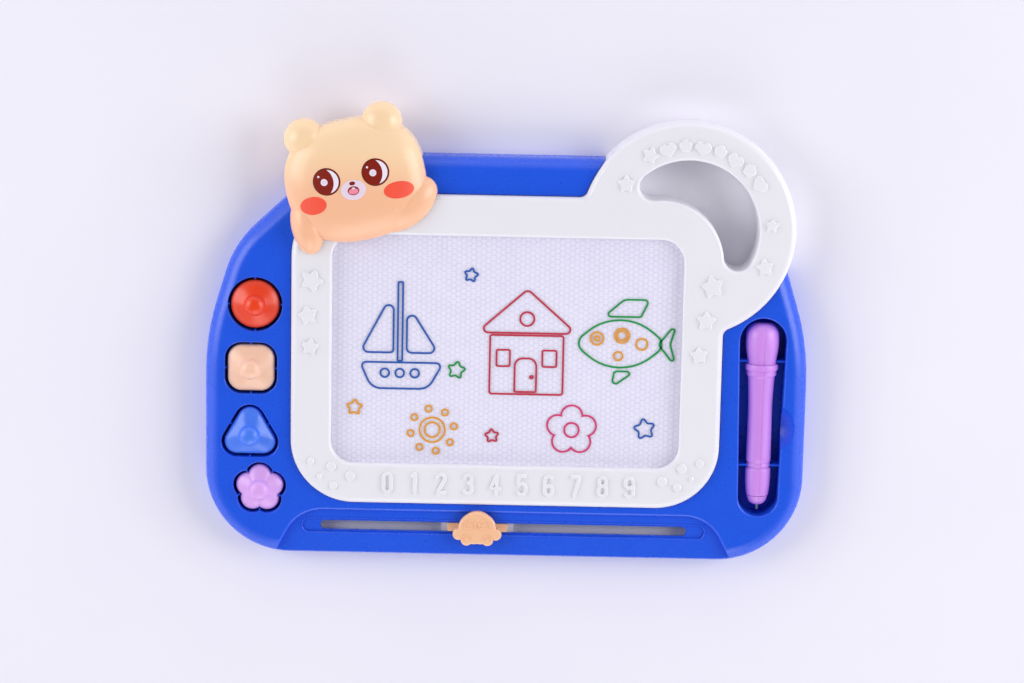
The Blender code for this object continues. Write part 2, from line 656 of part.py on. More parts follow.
def screw_mesh(name, length):
    """A pan head screw standing on its head, with a cross recess in the head's face."""
    edge = SCREW_HEAD_HEIGHT * SCREW_HEAD_EDGE_SHARE
    profile = (
        (0.0, length), (SCREW_SHANK_RADIUS, length - SCREW_POINT), (SCREW_SHANK_RADIUS, SCREW_HEAD_HEIGHT),
        (SCREW_HEAD_RADIUS, SCREW_HEAD_HEIGHT), (SCREW_HEAD_RADIUS, edge),
        (SCREW_HEAD_RADIUS * SCREW_HEAD_FACE_SHARE, 0.0), (0.0, 0.0),
    )
    blank = add_object(name, turned_mesh(name, profile, BORE_STEPS), cutters)
    arm = SCREW_HEAD_RADIUS * SCREW_CROSS_SHARE
    half = SCREW_CROSS_WIDTH / 2
    bars = [
        box("cross_recess_x", (-arm, -half, -OVERRUN), (arm, half, SCREW_CROSS_DEPTH), cutters),
        box("cross_recess_y", (-half, -arm, -OVERRUN), (half, arm, SCREW_CROSS_DEPTH), cutters),
    ]
    for bar in bars:
        add_boolean(blank, "DIFFERENCE", bar)
    bpy.context.view_layer.update()
    mesh = evaluated_mesh(blank, name)
    for used in (blank, *bars):
        bpy.data.objects.remove(used)
    return mesh


def track_height(y):
    """The facet's height: TRACK_DEPTH under the top face at its upper edge, falling to the bottom edge."""
    return BODY_DEPTH - TRACK_DEPTH - (TRACK_TOP_Y - y) * TRACK_SLOPE


def follow_track(part, at_top, lift):
    """Tilts the foot or the top of a prism to lie parallel to the facet."""
    heights = [vert.co.z for vert in part.data.vertices]
    wanted = max(heights) if at_top else min(heights)
    for vert in part.data.vertices:
        if abs(vert.co.z - wanted) < WELD_DISTANCE:
            vert.co.z = track_height(vert.co.y) + lift - part.location.z
    return part


def boss_places():
    half = BODY_WIDTH / 2
    places = [(across * half, up * BODY_HEIGHT - BODY_BELOW_WINDOW) for across, up in BOSS_SHARES]
    return places + [(HANDLE_MIDDLE.x - HANDLE_RADIUS - BOSS_BESIDE_RING, places[-1][1])]


def handle_boss_places():
    middle_radius = (HANDLE_RADIUS + GRIP_OUTER_RADIUS) / 2
    ways = [Vector((math.cos(angle), math.sin(angle))) for angle in HANDLE_BOSS_ANGLES]
    return [tuple(HANDLE_MIDDLE + middle_radius * way) for way in ways]


def frame_boss_places():
    half = FRAME_HALF - Vector((FRAME_BOSS_INSET, FRAME_BOSS_INSET))
    return [(across * half.x, up * half.y) for across, up in FRAME_BOSS_SHARES]


def stamp_place(shares):
    """A place in the margin left of the frame."""
    outward, upward = shares
    return (-FRAME_HALF.x - outward * BODY_SIDE_MARGIN, upward * BODY_HEIGHT - BODY_BELOW_WINDOW)


def bear_place(share):
    return tuple(BEAR_AT + BEAR_HALF_WIDTH * Vector(share))


def make_tray():
    """The blue moulded housing: rounded rim, sunk seats, cups hung from its top face, bosses and track."""
    above = FRAME_TOP + OVERRUN
    skin = BODY_DEPTH - BODY_WALL
    hollow = prism("tray_hollow", body_outline(BODY_WALL), -OVERRUN, skin, cutters)
    round_rim(hollow, BODY_RIM_RADIUS - BODY_WALL, BODY_RIM_SEGMENTS)
    blocks = [
        prism("notch_wall", handle_box_outline(-FIT_GAP - BODY_WALL), -2 * OVERRUN, above, cutters),
        prism("seat_block", frame_outline(-FIT_GAP - BODY_WALL), FRAME_SEAT - BODY_WALL, above, cutters),
        prism("screen_well", window_outline(SCREEN_LAP + FIT_GAP + BODY_WALL), LEDGE_FOOT, above, cutters),
        prism("track_block", track_outline(BODY_WALL), TRACK_SKIN, above, cutters),
        prism("pen_cup", trough_outline(TROUGH_WALL), TROUGH_FLOOR - TROUGH_WALL, above, cutters),
    ]
    scoop_z = BODY_DEPTH + math.sqrt(SCOOP_RADIUS**2 - SCOOP_MOUTH_RADIUS**2)
    scoop_at = (*SCOOP_AT, scoop_z)
    blocks.append(ball("scoop_cup", scoop_at, [SCOOP_RADIUS + TROUGH_WALL] * 3, cutters))
    for name, reach, count, at in STAMPS:
        cup = polar_outline(reach, count, STAMP_FACE_GAP + STAMP_CUP_WALL)
        blocks.append(prism(f"{name}_cup", cup, STAMP_FLOOR - STAMP_CUP_WALL, above, cutters, at))
    for k, at in enumerate(boss_places()):
        blocks.append(cylinder(f"tray_boss_{k + 1}", at, BOSS_RADIUS, BOSS_FOOT, above, cutters))
    combine(hollow, "DIFFERENCE", blocks)

    tray = prism("front_tray", body_outline(), 0.0, BODY_DEPTH, parts)
    round_rim(tray, BODY_RIM_RADIUS, BODY_RIM_SEGMENTS)
    combine(tray, "DIFFERENCE", hollow)
    recesses = [
        prism("handle_notch", handle_box_outline(-FIT_GAP), -OVERRUN, above, cutters),
        prism("cover_recess", body_outline(BODY_WALL), -OVERRUN, COVER_SEAT, cutters),
        prism("frame_seat", frame_outline(-FIT_GAP), FRAME_SEAT, above, cutters),
        prism("screen_seat", window_outline(SCREEN_LAP + FIT_GAP), SCREEN_SEAT, above, cutters),
        prism("screen_opening", window_outline(SCREEN_LAP - SCREEN_LEDGE), -OVERRUN, above, cutters),
        ball("finger_scoop", scoop_at, [SCOOP_RADIUS] * 3, cutters),
        make_trough(above),
        make_track(above),
        prism("slot", obround_outline(SLOT_LENGTH, SLOT_WIDTH, (0.0, SLOT_Y)), 0.0, above, cutters),
    ]
    recesses += [make_pocket(*stamp, above) for stamp in STAMPS]
    for k, at in enumerate(boss_places()):
        top = SCREW_SINK + SCREW_LENGTH + SEAT_GAP
        recesses.append(cylinder(f"tray_pilot_{k + 1}", at, HOLE_RADIUS, 0.0, top, cutters, BORE_STEPS))
    upward = frame_boss_places() + [bear_place(share) for share in BEAR_POST_SHARES]
    for k, at in enumerate(upward):
        low = LEDGE_FOOT - OVERRUN
        recesses.append(cylinder(f"tray_hole_{k + 1}", at, HOLE_RADIUS, low, above, cutters, BORE_STEPS))
    combine(tray, "DIFFERENCE", recesses)
    return finish(tray, blue_abs)


def make_pocket(name, reach, count, at, above):
    """A stamp pocket with thin locating ribs left standing on its wall."""
    outline = polar_outline(reach, count, STAMP_FACE_GAP)
    pocket = prism(f"{name}_pocket", outline, STAMP_FLOOR, above, cutters, at)
    sides = 3 if reach is triangle_reach else 5 if reach is flower_reach else 4
    ribs = []
    for k in range(sides):
        angle = math.radians(90) + 2 * math.pi * (k + (0.5 if sides != 4 else 0.0)) / sides
        outward = Vector((math.cos(angle), math.sin(angle)))
        near = reach(angle) + STAMP_FACE_GAP - STAMP_RIB_REACH
        length = STAMP_RIB_REACH + STAMP_CUP_WALL / 2
        low = (0.0, -STAMP_RIB_WIDTH / 2, STAMP_FLOOR - STAMP_CUP_WALL / 2)
        rib = box(f"{name}_rib_{k + 1}", low, (length, STAMP_RIB_WIDTH / 2, BODY_DEPTH + OVERRUN), cutters)
        middle = Vector(at) + outward * (near + length / 2)
        rib.location = (*middle, rib.location.z)
        rib.rotation_euler.z = angle
        ribs.append(rib)
    return combine(pocket, "DIFFERENCE", ribs)


def make_trough(above):
    """The pen trough with two clips, each a thin rib with a notch as wide as the pen is there."""
    trough = prism("pen_trough", trough_outline(), TROUGH_FLOOR, above, cutters)
    clips = []
    for k, share in enumerate(CLIP_SHARES):
        y = PEN_TOP_Y - share * PEN_LENGTH
        half = CLIP_THICKNESS / 2
        reach = TROUGH_TOP_RADIUS + TROUGH_WALL / 2
        low = (PEN_X - reach, y - half, TROUGH_FLOOR - TROUGH_WALL / 2)
        clip = box(f"pen_clip_{k + 1}", low, (PEN_X + reach, y + half, CLIP_HEIGHT), cutters)
        mouth = arch_outline(pen_radius(share) + CLIP_GAP, CLIP_HEIGHT + OVERRUN - PEN_Z)
        notch = prism(f"clip_notch_{k + 1}", mouth, -2 * half, 2 * half, cutters)
        notch.rotation_euler.x = math.radians(90)
        notch.location = (PEN_X, y, PEN_Z)
        clips.append(combine(clip, "DIFFERENCE", notch))
    return combine(trough, "DIFFERENCE", clips)


def arch_outline(radius, height):
    """A half circle open to a straight-sided mouth of this height above its middle."""
    half_turn = math.radians(180)
    points = arc_points(Vector((0.0, 0.0)), radius, half_turn, 2 * half_turn, 12)
    return points + [Vector((radius, height)), Vector((-radius, height))]


def pen_radius(share):
    """The pen's radius at this share of its length."""
    shares = PEN_CAP_SHARES + PEN_BARREL_SHARES + PEN_TIP_SHARES
    for (start, near), (end, far) in zip(shares, shares[1:]):
        if start <= share <= end:
            return PEN_RADIUS * (near + (far - near) * (share - start) / (end - start))
    return 0.0


def make_track(above):
    """The sloped facet, with the raised rim of the groove left standing in it, and the groove."""
    facet = prism("track_facet", track_outline(), TRACK_SKIN, above, cutters)
    follow_track(facet, False, 0.0)
    middle = (0.0, SLOT_Y)
    size = (GROOVE_LENGTH + 2 * GROOVE_RIM_WIDTH, GROOVE_WIDTH + 2 * GROOVE_RIM_WIDTH)
    rim = prism("groove_rim", obround_outline(*size, middle), TRACK_SKIN - OVERRUN, BODY_DEPTH, cutters)
    follow_track(rim, True, GROOVE_RIM_HEIGHT)
    outline = obround_outline(GROOVE_LENGTH, GROOVE_WIDTH, middle)
    groove = prism("groove", outline, TRACK_SKIN, above, cutters)
    follow_track(groove, False, -GROOVE_DEPTH)
    combine(facet, "DIFFERENCE", rim)
    return combine(facet, "UNION", groove)


def make_cover():
    """The rear cover: a flat plate with screw pads and the two rails that the eraser arm runs on."""
    cover = prism("rear_cover", body_outline(BODY_WALL + FIT_GAP), 0.0, COVER_THICKNESS, parts)
    ring = arc_points(HANDLE_MIDDLE, HANDLE_RADIUS, 0.0, math.radians(360), 40)[:-1]
    added = [prism("cover_ring", ring, 0.0, COVER_THICKNESS, cutters)]
    screws = boss_places() + handle_boss_places()
    inside = COVER_THICKNESS / 2
    for k, at in enumerate(screws):
        added.append(cylinder(f"cover_pad_{k + 1}", at, COVER_PAD_RADIUS, inside, PAD_TOP, cutters))
    half = RAIL_WIDTH / 2
    arm_end = MAGNET_LENGTH / 2
    for name, y in (("lower_rail", SLOT_Y), ("upper_rail", arm_end + RAIL_WIDTH)):
        length = RAIL_LENGTH if y < 0 else 2 * (WINDOW_HALF.x - WINDOW_CORNER)
        low = (-length / 2, y - half, inside)
        added.append(box(name, low, (length / 2, y + half, RAIL_TOP), cutters))
    combine(cover, "UNION", added)
    holes = [prism("cover_grip", grip_outline(), -OVERRUN, COVER_THICKNESS + OVERRUN, cutters)]
    seat = SCREW_SINK + SCREW_HEAD_HEIGHT + SEAT_GAP
    for k, at in enumerate(screws):
        holes.append(cylinder(f"cover_bore_{k + 1}", at, COUNTERBORE_RADIUS, -OVERRUN, seat, cutters))
        holes.append(cylinder(f"cover_hole_{k + 1}", at, HOLE_RADIUS, inside, PAD_TOP + OVERRUN, cutters, 12))
    combine(cover, "DIFFERENCE", holes)
    return finish(cover, white_abs)


def make_frame():
    """The white frame and ring handle: a skin with walls round its edge, window and grip, open behind."""
    frame = prism("white_frame", frame_outline(), COVER_SEAT, FRAME_TOP, parts)
    round_rim(frame, FRAME_RIM_RADIUS, FRAME_RIM_SEGMENTS)
    under = prism("under_frame", frame_outline(-OVERRUN), -OVERRUN, FRAME_FOOT, cutters)
    combine(under, "DIFFERENCE", prism("handle_keep", handle_box_outline(), -2 * OVERRUN, FRAME_TOP, cutters))
    above = FRAME_TOP + OVERRUN
    band = prism("frame_hollow", frame_outline(BODY_WALL), 0.0, FRAME_SKIN, cutters)
    kept = [
        prism("window_wall", window_outline(BODY_WALL), -OVERRUN, above, cutters),
        prism("handle_walls", handle_box_outline(), -OVERRUN, above, cutters),
    ]
    for k, at in enumerate(frame_boss_places()):
        kept.append(cylinder(f"frame_post_{k + 1}", at, BOSS_RADIUS, -OVERRUN, above, cutters))
    combine(band, "DIFFERENCE", kept)
    ring = prism("handle_hollow", handle_box_outline(BODY_WALL), 0.0, FRAME_SKIN, cutters)
    kept = [prism("grip_wall", grip_outline(BODY_WALL), -OVERRUN, above, cutters)]
    for k, at in enumerate(handle_boss_places()):
        kept.append(cylinder(f"handle_post_{k + 1}", at, BOSS_RADIUS, BOSS_FOOT, above, cutters))
    combine(ring, "DIFFERENCE", kept)
    holes = [
        under, band, ring,
        prism("screen_clearance", window_outline(SCREEN_LAP + FIT_GAP), 0.0, FACE_TOP + SEAT_GAP, cutters),
        flared_prism("window", window_outline, 0.0, FRAME_TOP, WINDOW_EDGE_RADIUS, cutters),
        flared_prism("grip", grip_outline, 0.0, FRAME_TOP, GRIP_EDGE_RADIUS, cutters),
    ]
    top = SCREW_SINK + SCREW_LENGTH + SEAT_GAP
    for k, at in enumerate(handle_boss_places()):
        holes.append(cylinder(f"handle_pilot_{k + 1}", at, HOLE_RADIUS, 0.0, top, cutters, BORE_STEPS))
    top = SEAT_SCREW_FOOT + SHORT_SCREW_LENGTH + SEAT_GAP
    for k, at in enumerate(frame_boss_places()):
        holes.append(cylinder(f"frame_pilot_{k + 1}", at, HOLE_RADIUS, 0.0, top, cutters, BORE_STEPS))
    for k, share in enumerate(BEAR_POST_SHARES):
        at = bear_place(share)
        holes.append(cylinder(f"bear_post_hole_{k + 1}", at, BOSS_RADIUS + FIT_GAP, 0.0, above, cutters))
    combine(frame, "DIFFERENCE", holes)
    return finish(frame, white_abs)


def make_screen():
    """The drawing screen: a clear face sheet, the honeycomb core and a back sheet, then the loose film."""
    lap = window_outline(SCREEN_LAP)
    layers = (
        ("screen_face", FACE_TOP, FACE_THICKNESS, clear_sheet),
        ("honeycomb_core", CORE_TOP, CORE_THICKNESS, pale_core),
        ("screen_back", BACK_TOP, BACK_THICKNESS, pale_core),
    )
    for name, top, thickness, surface in layers:
        finish(prism(name, lap, top - thickness, top, parts), surface)
    film = prism("printed_film", window_outline(-FILM_EDGE_GAP), FILM_FOOT, FILM_TOP, parts)
    finish(film, clear_sheet)


def make_slider():
    """The car-shaped knob with its shoe in the slot, the arm behind the screen and its magnet strip."""
    at = (SLIDER_REST_X, SLOT_Y)
    discs = [tuple(value * KNOB_HALF_WIDTH for value in disc) for disc in KNOB_DISC_SHARES]

    def knob_reach(angle):
        way = Vector((math.cos(angle), math.sin(angle)))
        best = 0.0
        for x, y, radius in discs:
            along = way.dot(Vector((x, y)))
            inside = radius**2 - (Vector((x, y)).length_squared - along**2)
            if inside > 0:
                best = max(best, along + math.sqrt(inside))
        return best

    knob = prism("slider_knob", polar_outline(knob_reach, KNOB_POINTS), KNOB_FOOT, KNOB_TOP, parts, at)
    round_rim(knob, KNOB_EDGE_RADIUS, 2)
    half = SLOT_WIDTH / 2 - SEAT_GAP
    shoe_foot = PAD_OF_ARM_TOP + SEAT_GAP
    reach = SHOE_LENGTH / 2
    x, y = at
    shoe = box("slider_shoe", (x - reach, y - half, shoe_foot), (x + reach, y + half, SHOE_TOP), cutters)
    reach = NECK_LENGTH / 2
    top = (KNOB_FOOT + KNOB_TOP) / 2
    neck = box("slider_neck", (x - reach, y - half, shoe_foot), (x + reach, y + half, top), cutters)
    combine(knob, "UNION", shoe)
    combine(knob, "UNION", neck)
    screw_top = ARM_FOOT + SCREW_SINK + SCREW_LENGTH + SEAT_GAP
    pilot = cylinder("slider_pilot", at, HOLE_RADIUS, ARM_FOOT, screw_top, cutters, BORE_STEPS)
    combine(knob, "DIFFERENCE", pilot)
    finish(knob, peach_abs)

    end = MAGNET_LENGTH / 2
    side = ARM_WIDTH / 2
    head = (ARM_HEAD_LENGTH / 2, ARM_HEAD_WIDTH / 2)
    arm_low = (x - side, y - head[1], ARM_FOOT)
    arm = box("eraser_arm", arm_low, (x + side, end + RAIL_WIDTH, ARM_TOP), parts)
    lip = (MAGNET_WIDTH / 2 + SEAT_GAP, end + SEAT_GAP)
    inside = (ARM_FOOT + ARM_TOP) / 2
    holder_low = (x - side, -lip[1] - BODY_WALL / 2, inside)
    holder_high = (x + side, lip[1] + BODY_WALL / 2, MAGNET_TOP - MAGNET_THICKNESS / 2)
    head_low = (x - head[0], y - head[1], ARM_FOOT)
    head_high = (x + head[0], y + head[1], PAD_OF_ARM_TOP)
    added = [
        box("arm_head", head_low, head_high, cutters),
        box("magnet_holder", holder_low, holder_high, cutters),
    ]
    for other in added:
        combine(arm, "UNION", other)
    seat = ARM_FOOT + SCREW_SINK + SCREW_HEAD_HEIGHT + SEAT_GAP
    removed = [
        box("magnet_channel", (x - lip[0], -lip[1], ARM_TOP), (x + lip[0], lip[1], FRAME_TOP), cutters),
        cylinder("arm_bore", at, COUNTERBORE_RADIUS, ARM_FOOT - OVERRUN, seat, cutters),
        cylinder("arm_hole", at, HOLE_RADIUS, ARM_FOOT, PAD_OF_ARM_TOP + OVERRUN, cutters, BORE_STEPS),
    ]
    for other in removed:
        combine(arm, "DIFFERENCE", other)
    finish(arm, white_abs)
    magnet_foot = MAGNET_TOP - MAGNET_THICKNESS
    half = MAGNET_WIDTH / 2
    magnet = box("eraser_magnet", (x - half, -end, magnet_foot), (x + half, end, MAGNET_TOP), parts)
    finish(magnet, black_magnet)
    add_screw("slider_screw", at, ARM_FOOT + SCREW_SINK, long_screw)


def add_screw(name, at, foot, mesh):
    finish(add_object(name, mesh.copy(), parts, (*at, foot)), screw_steel)


def make_screws():
    for k, at in enumerate(boss_places()):
        add_screw(f"cover_screw_{k + 1}", at, SCREW_SINK, long_screw)
    for k, at in enumerate(handle_boss_places()):
        add_screw(f"handle_screw_{k + 1}", at, SCREW_SINK, long_screw)
    for k, at in enumerate(frame_boss_places()):
        add_screw(f"frame_screw_{k + 1}", at, SEAT_SCREW_FOOT, short_screw)
    for k, share in enumerate(BEAR_POST_SHARES):
        add_screw(f"bear_screw_{k + 1}", bear_place(share), SEAT_SCREW_FOOT, short_screw)


def make_stamps():
    """Four stamps, each a moulded grip that rises to a round knob, with a magnet plate under it."""
    for (name, reach, count, at), surface in zip(STAMPS, (red_abs, peach_abs, blue_abs, lilac_abs)):
        foot = STAMP_FLOOR + SEAT_GAP
        plate_top = foot + STAMP_MAGNET_THICKNESS
        outline = polar_outline(reach, count, -STAMP_MAGNET_INSET)
        plate = prism(f"{name}_magnet", outline, foot, plate_top, parts, at)
        finish(plate, black_magnet)
        grip_foot = plate_top + SEAT_GAP
        height = STAMP_HEIGHT - grip_foot
        rings = []
        for up, size, toward in STAMP_RING_SHARES:
            points = []
            for angle in turn_angles(count):
                shaped = reach(angle) * size
                turned = STAMP_KNOB_RADIUS * size / STAMP_KNOB_SHARE
                length = shaped + (turned - shaped) * toward
                points.append((length * math.cos(angle), length * math.sin(angle)))
            rings.append((points, grip_foot + up * height))
        finish(loft(name, rings, parts, (*at, 0.0)), surface)


def make_pen():
    """The pen lies along Y: a bulb cap, the barrel with its flange and rings, the nose and a metal nib."""
    middle = (PEN_X, PEN_TOP_Y, PEN_Z)
    groups = (("pen_cap", PEN_CAP_SHARES), ("pen_barrel", PEN_BARREL_SHARES), ("pen_tip", PEN_TIP_SHARES))
    for name, shares in groups:
        profile = [(radius * PEN_RADIUS, -along * PEN_LENGTH) for along, radius in shares]
        if profile[0][0] > 0:
            profile.insert(0, (0.0, profile[0][1]))
        profile.append((0.0, profile[-1][1]))
        piece = add_object(name, turned_mesh(name, profile, PEN_STEPS), parts, middle)
        piece.rotation_euler.x = math.radians(-90)
        finish(piece, lilac_abs)
        if name == "pen_tip":
            tip = piece
        if name == "pen_barrel":
            barrel = piece
    nose = PEN_TOP_Y - PEN_LENGTH
    end = nose - NIB_REACH + NIB_LENGTH + SEAT_GAP
    for piece in (tip, barrel):
        name = f"{piece.name}_bore"
        bore = cylinder(name, (0.0, 0.0), NIB_RADIUS + SEAT_GAP, nose - OVERRUN, end, cutters, 12)
        bore.rotation_euler.x = math.radians(-90)
        bore.location = (PEN_X, (nose - OVERRUN + end) / 2, PEN_Z)
        combine(piece, "DIFFERENCE", bore)
    nib = cylinder("pen_nib", (0.0, 0.0), NIB_RADIUS, -NIB_LENGTH / 2, NIB_LENGTH / 2, parts, 12)
    nib.rotation_euler.x = math.radians(-90)
    nib.location = (PEN_X, nose - NIB_REACH + NIB_LENGTH / 2, PEN_Z)
    finish(nib, screw_steel)


def bear_form(name, shrink, foot, steps, group):
    """The head's dome over straight walls, drawn in by shrink for the hollow."""
    across, along = BEAR_HALF_WIDTH - shrink, BEAR_HALF_HEIGHT - shrink
    power = 2 / BEAR_ROUNDNESS
    outline = []
    for step in range(steps):
        angle = 2 * math.pi * step / steps
        x = math.copysign(abs(math.cos(angle)) ** power, math.cos(angle)) * across
        y = math.copysign(abs(math.sin(angle)) ** power, math.sin(angle)) * along
        outline.append(Vector((x, y)))
    rings = [(outline, foot)]
    for step in range(BEAR_DOME_RINGS):
        angle = math.radians(90) * step / BEAR_DOME_RINGS
        size = math.cos(angle) ** power
        up = math.sin(angle) ** power * (BEAR_DOME_HEIGHT - shrink)
        rings.append(([point * size for point in outline], BEAR_BASE + up))
    form = loft(name, rings, group, (*BEAR_AT, 0.0))
    form.rotation_euler.z = BEAR_TILT
    return form


def make_bear():
    """The bear's head on the corner: a hollow dome with round ears and two paws that hold the frame."""
    bear = bear_form("bear_head", 0.0, BEAR_SKIRT, BEAR_STEPS, parts)
    for k, share in enumerate(BEAR_EAR_SHARES):
        size = (BEAR_EAR_RADIUS, BEAR_EAR_RADIUS, BEAR_EAR_HEIGHT)
        ear = ball(f"bear_ear_{k + 1}", (*bear_place(share), BEAR_BASE), size, cutters, (16, 8))
        combine(bear, "UNION", ear)
    paws = zip(BEAR_PAW_SHARES, BEAR_PAW_HALF_LENGTHS, BEAR_PAW_HALF_WIDTHS, BEAR_PAW_ANGLES)
    for k, (share, length, width, way) in enumerate(paws):
        size = (length, width, BEAR_PAW_HEIGHT + FRAME_STAND / 2)
        at = (*bear_place(share), BODY_DEPTH + FRAME_STAND / 2)
        paw = ball(f"bear_paw_{k + 1}", at, size, cutters, (16, 8))
        paw.rotation_euler.z = way
        combine(bear, "UNION", paw)
    inner = bear_form("bear_hollow", BEAR_WALL, -OVERRUN, BEAR_STEPS - 8, cutters)
    seats = [
        inner,
        prism("bear_tray_seat", body_outline(-FIT_GAP), -OVERRUN, BODY_DEPTH + SEAT_GAP, cutters),
        prism("bear_frame_seat", frame_outline(-FIT_GAP), -OVERRUN, FRAME_TOP + SEAT_GAP, cutters),
    ]
    for k, share in enumerate(BEAR_POST_SHARES):
        at = bear_place(share)
        top = BEAR_BASE + BEAR_DOME_HEIGHT
        post = cylinder(f"bear_post_{k + 1}", at, BOSS_RADIUS, FRAME_FOOT, top, cutters)
        for seat in seats[:3]:
            combine(seat, "DIFFERENCE", post)
        top = SEAT_SCREW_FOOT + SHORT_SCREW_LENGTH + SEAT_GAP
        seats.append(cylinder(f"bear_pilot_{k + 1}", at, HOLE_RADIUS, 0.0, top, cutters, BORE_STEPS))
    combine(bear, "DIFFERENCE", seats)
    finish(bear, peach_abs)


STAMPS = (
    ("round_stamp", round_reach, ROUND_STAMP_POINTS, stamp_place(ROUND_STAMP_SHARES)),
    ("square_stamp", square_reach, SQUARE_STAMP_POINTS, stamp_place(SQUARE_STAMP_SHARES)),
    ("triangle_stamp", triangle_reach, TRIANGLE_STAMP_POINTS, stamp_place(TRIANGLE_STAMP_SHARES)),
    ("flower_stamp", flower_reach, FLOWER_STAMP_POINTS, stamp_place(FLOWER_STAMP_SHARES)),
)

for old in list(bpy.data.objects):
    bpy.data.objects.remove(old)

planned = []
parts = new_collection("drawing_board")
cutters = new_collection("cutters")
board = bpy.data.objects.new("board_place", None)
parts.objects.link(board)
ear_tops = [bear_place(share)[1] + BEAR_EAR_RADIUS for share in BEAR_EAR_SHARES]
board.location = (0.0, (BODY_BELOW_WINDOW - max(ear_tops)) / 2, 0.0)

blue_abs = plastic("blue gloss ABS", "#1d57e3", 0.28)
white_abs = plastic("white gloss ABS", "#e9e7ee", 0.32)
peach_abs = plastic("peach gloss ABS", "#fcbf95", 0.34)
red_abs = plastic("red gloss ABS", "#f33a0c", 0.30)
lilac_abs = plastic("lilac gloss ABS", "#d48fee", 0.32)
clear_sheet = plastic("clear PET sheet", "#ebe8fb", 0.15)
pale_core = plastic("pale honeycomb", "#f4f3fa", 0.60)
black_magnet = plastic("bonded ferrite", "#2a2624", 0.70)
screw_steel = plastic("zinc plated steel", "#a9abb0", 0.35, 1.0)

long_screw = screw_mesh("long_screw", SCREW_LENGTH)
short_screw = screw_mesh("short_screw", SHORT_SCREW_LENGTH)
make_tray()
make_cover()
make_frame()
make_screen()
make_slider()
make_screws()
make_stamps()
make_pen()
make_bear()
for piece, operation, others in planned:
    add_boolean(piece, operation, others)
hide_cutters(cutters)
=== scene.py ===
"""The looks of a children's magnetic drawing board that lies on a pale floor, seen from above.

Lengths are in millimetres, and places are measured from the middle of the screen window on the floor's
plane. A piece is brought to metres and to its place in the frame when it is finished.
"""

import math

import bmesh
import bpy
from mathutils import Matrix, Vector


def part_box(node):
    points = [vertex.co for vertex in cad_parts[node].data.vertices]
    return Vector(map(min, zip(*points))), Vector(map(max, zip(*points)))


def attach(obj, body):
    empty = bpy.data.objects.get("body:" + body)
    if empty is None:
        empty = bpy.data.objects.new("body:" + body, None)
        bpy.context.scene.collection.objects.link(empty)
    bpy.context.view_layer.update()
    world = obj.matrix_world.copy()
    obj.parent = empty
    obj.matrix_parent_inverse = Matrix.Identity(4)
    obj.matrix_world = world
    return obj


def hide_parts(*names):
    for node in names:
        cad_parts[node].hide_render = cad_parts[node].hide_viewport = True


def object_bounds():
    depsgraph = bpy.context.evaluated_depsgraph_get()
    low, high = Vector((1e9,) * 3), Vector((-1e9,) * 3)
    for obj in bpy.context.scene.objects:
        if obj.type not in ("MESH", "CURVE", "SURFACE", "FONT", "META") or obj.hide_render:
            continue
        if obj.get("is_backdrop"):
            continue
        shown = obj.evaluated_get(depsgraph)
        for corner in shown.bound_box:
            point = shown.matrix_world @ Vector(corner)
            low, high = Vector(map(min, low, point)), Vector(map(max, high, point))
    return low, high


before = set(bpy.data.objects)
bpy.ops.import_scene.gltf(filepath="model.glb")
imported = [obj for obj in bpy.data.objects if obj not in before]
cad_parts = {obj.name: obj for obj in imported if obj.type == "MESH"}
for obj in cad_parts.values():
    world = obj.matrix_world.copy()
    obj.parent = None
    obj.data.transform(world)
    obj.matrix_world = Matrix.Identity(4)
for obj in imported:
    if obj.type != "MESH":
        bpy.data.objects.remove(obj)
cad_box = [list(corner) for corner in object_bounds()]

# The camera stands above the board, a little toward its bottom edge, with a long lens.
# The middle of its picture lies just right of the middle of the screen.
MM = 0.001
WINDOW_ABOVE_EDGE = 128.2
BOARD_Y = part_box("front_tray")[0].y / MM + WINDOW_ABOVE_EDGE
CAMERA_TARGET = (3.1, 6.0, 20.0)
CAMERA_DISTANCE = 1694.4
CAMERA_LENS = 99.28
CAMERA_TILT = math.radians(10.7)
CAMERA_ROLL = math.radians(1.15)


def place(x, y, z=0.0):
    """A place given in millimetres from the middle of the window, in the frame's metres."""
    return Vector((x, y + BOARD_Y, z)) * MM


back = Vector((0.0, math.sin(CAMERA_TILT), math.cos(CAMERA_TILT)))
level = Vector((0.0, math.cos(CAMERA_TILT), -math.sin(CAMERA_TILT)))
across = Vector((1.0, 0.0, 0.0))
right = math.cos(CAMERA_ROLL) * across + math.sin(CAMERA_ROLL) * level
upward = math.cos(CAMERA_ROLL) * level - math.sin(CAMERA_ROLL) * across
camera = bpy.data.objects.new("camera", bpy.data.cameras.new("camera"))
bpy.context.scene.collection.objects.link(camera)
camera.data.lens = CAMERA_LENS
camera.data.sensor_width = 36.0
stand = Matrix((right, upward, back)).transposed().to_4x4()
stand.translation = place(*CAMERA_TARGET) + CAMERA_DISTANCE * MM * back
camera.matrix_world = stand
bpy.context.scene.camera = camera
bpy.context.scene.view_settings.view_transform = "Standard"


# The floor is one large sheet of matt white paper under the board.
# The lamps are soft boxes that stand low beside it, in a pale room with a dimmer ceiling.
FLOOR_HALF = 4000.0
ROOM_LOW, ROOM_HIGH = 1.6, 0.1
DIM_FROM, DIM_TO = 0.15, 0.8
# Each lamp's name, its place in metres, its width and its power
LAMPS = (
    ("left_lamp", (-1.45, 0.35, 1.0), 1.1, 12.5),
    ("right_lamp", (1.5, 0.3, 1.0), 1.1, 15.0),
    ("front_lamp", (0.1, -1.5, 1.1), 1.1, 7.0),
)


def linear(colour, share=1.0):
    """An sRGB hex colour, or a share of its light, as the linear values that Blender's nodes take."""
    channels = [int(colour[at : at + 2], 16) / 255 for at in (1, 3, 5)]
    light = [c / 12.92 if c <= 0.04045 else ((c + 0.055) / 1.055) ** 2.4 for c in channels]
    return (*[share * c for c in light], 1.0)


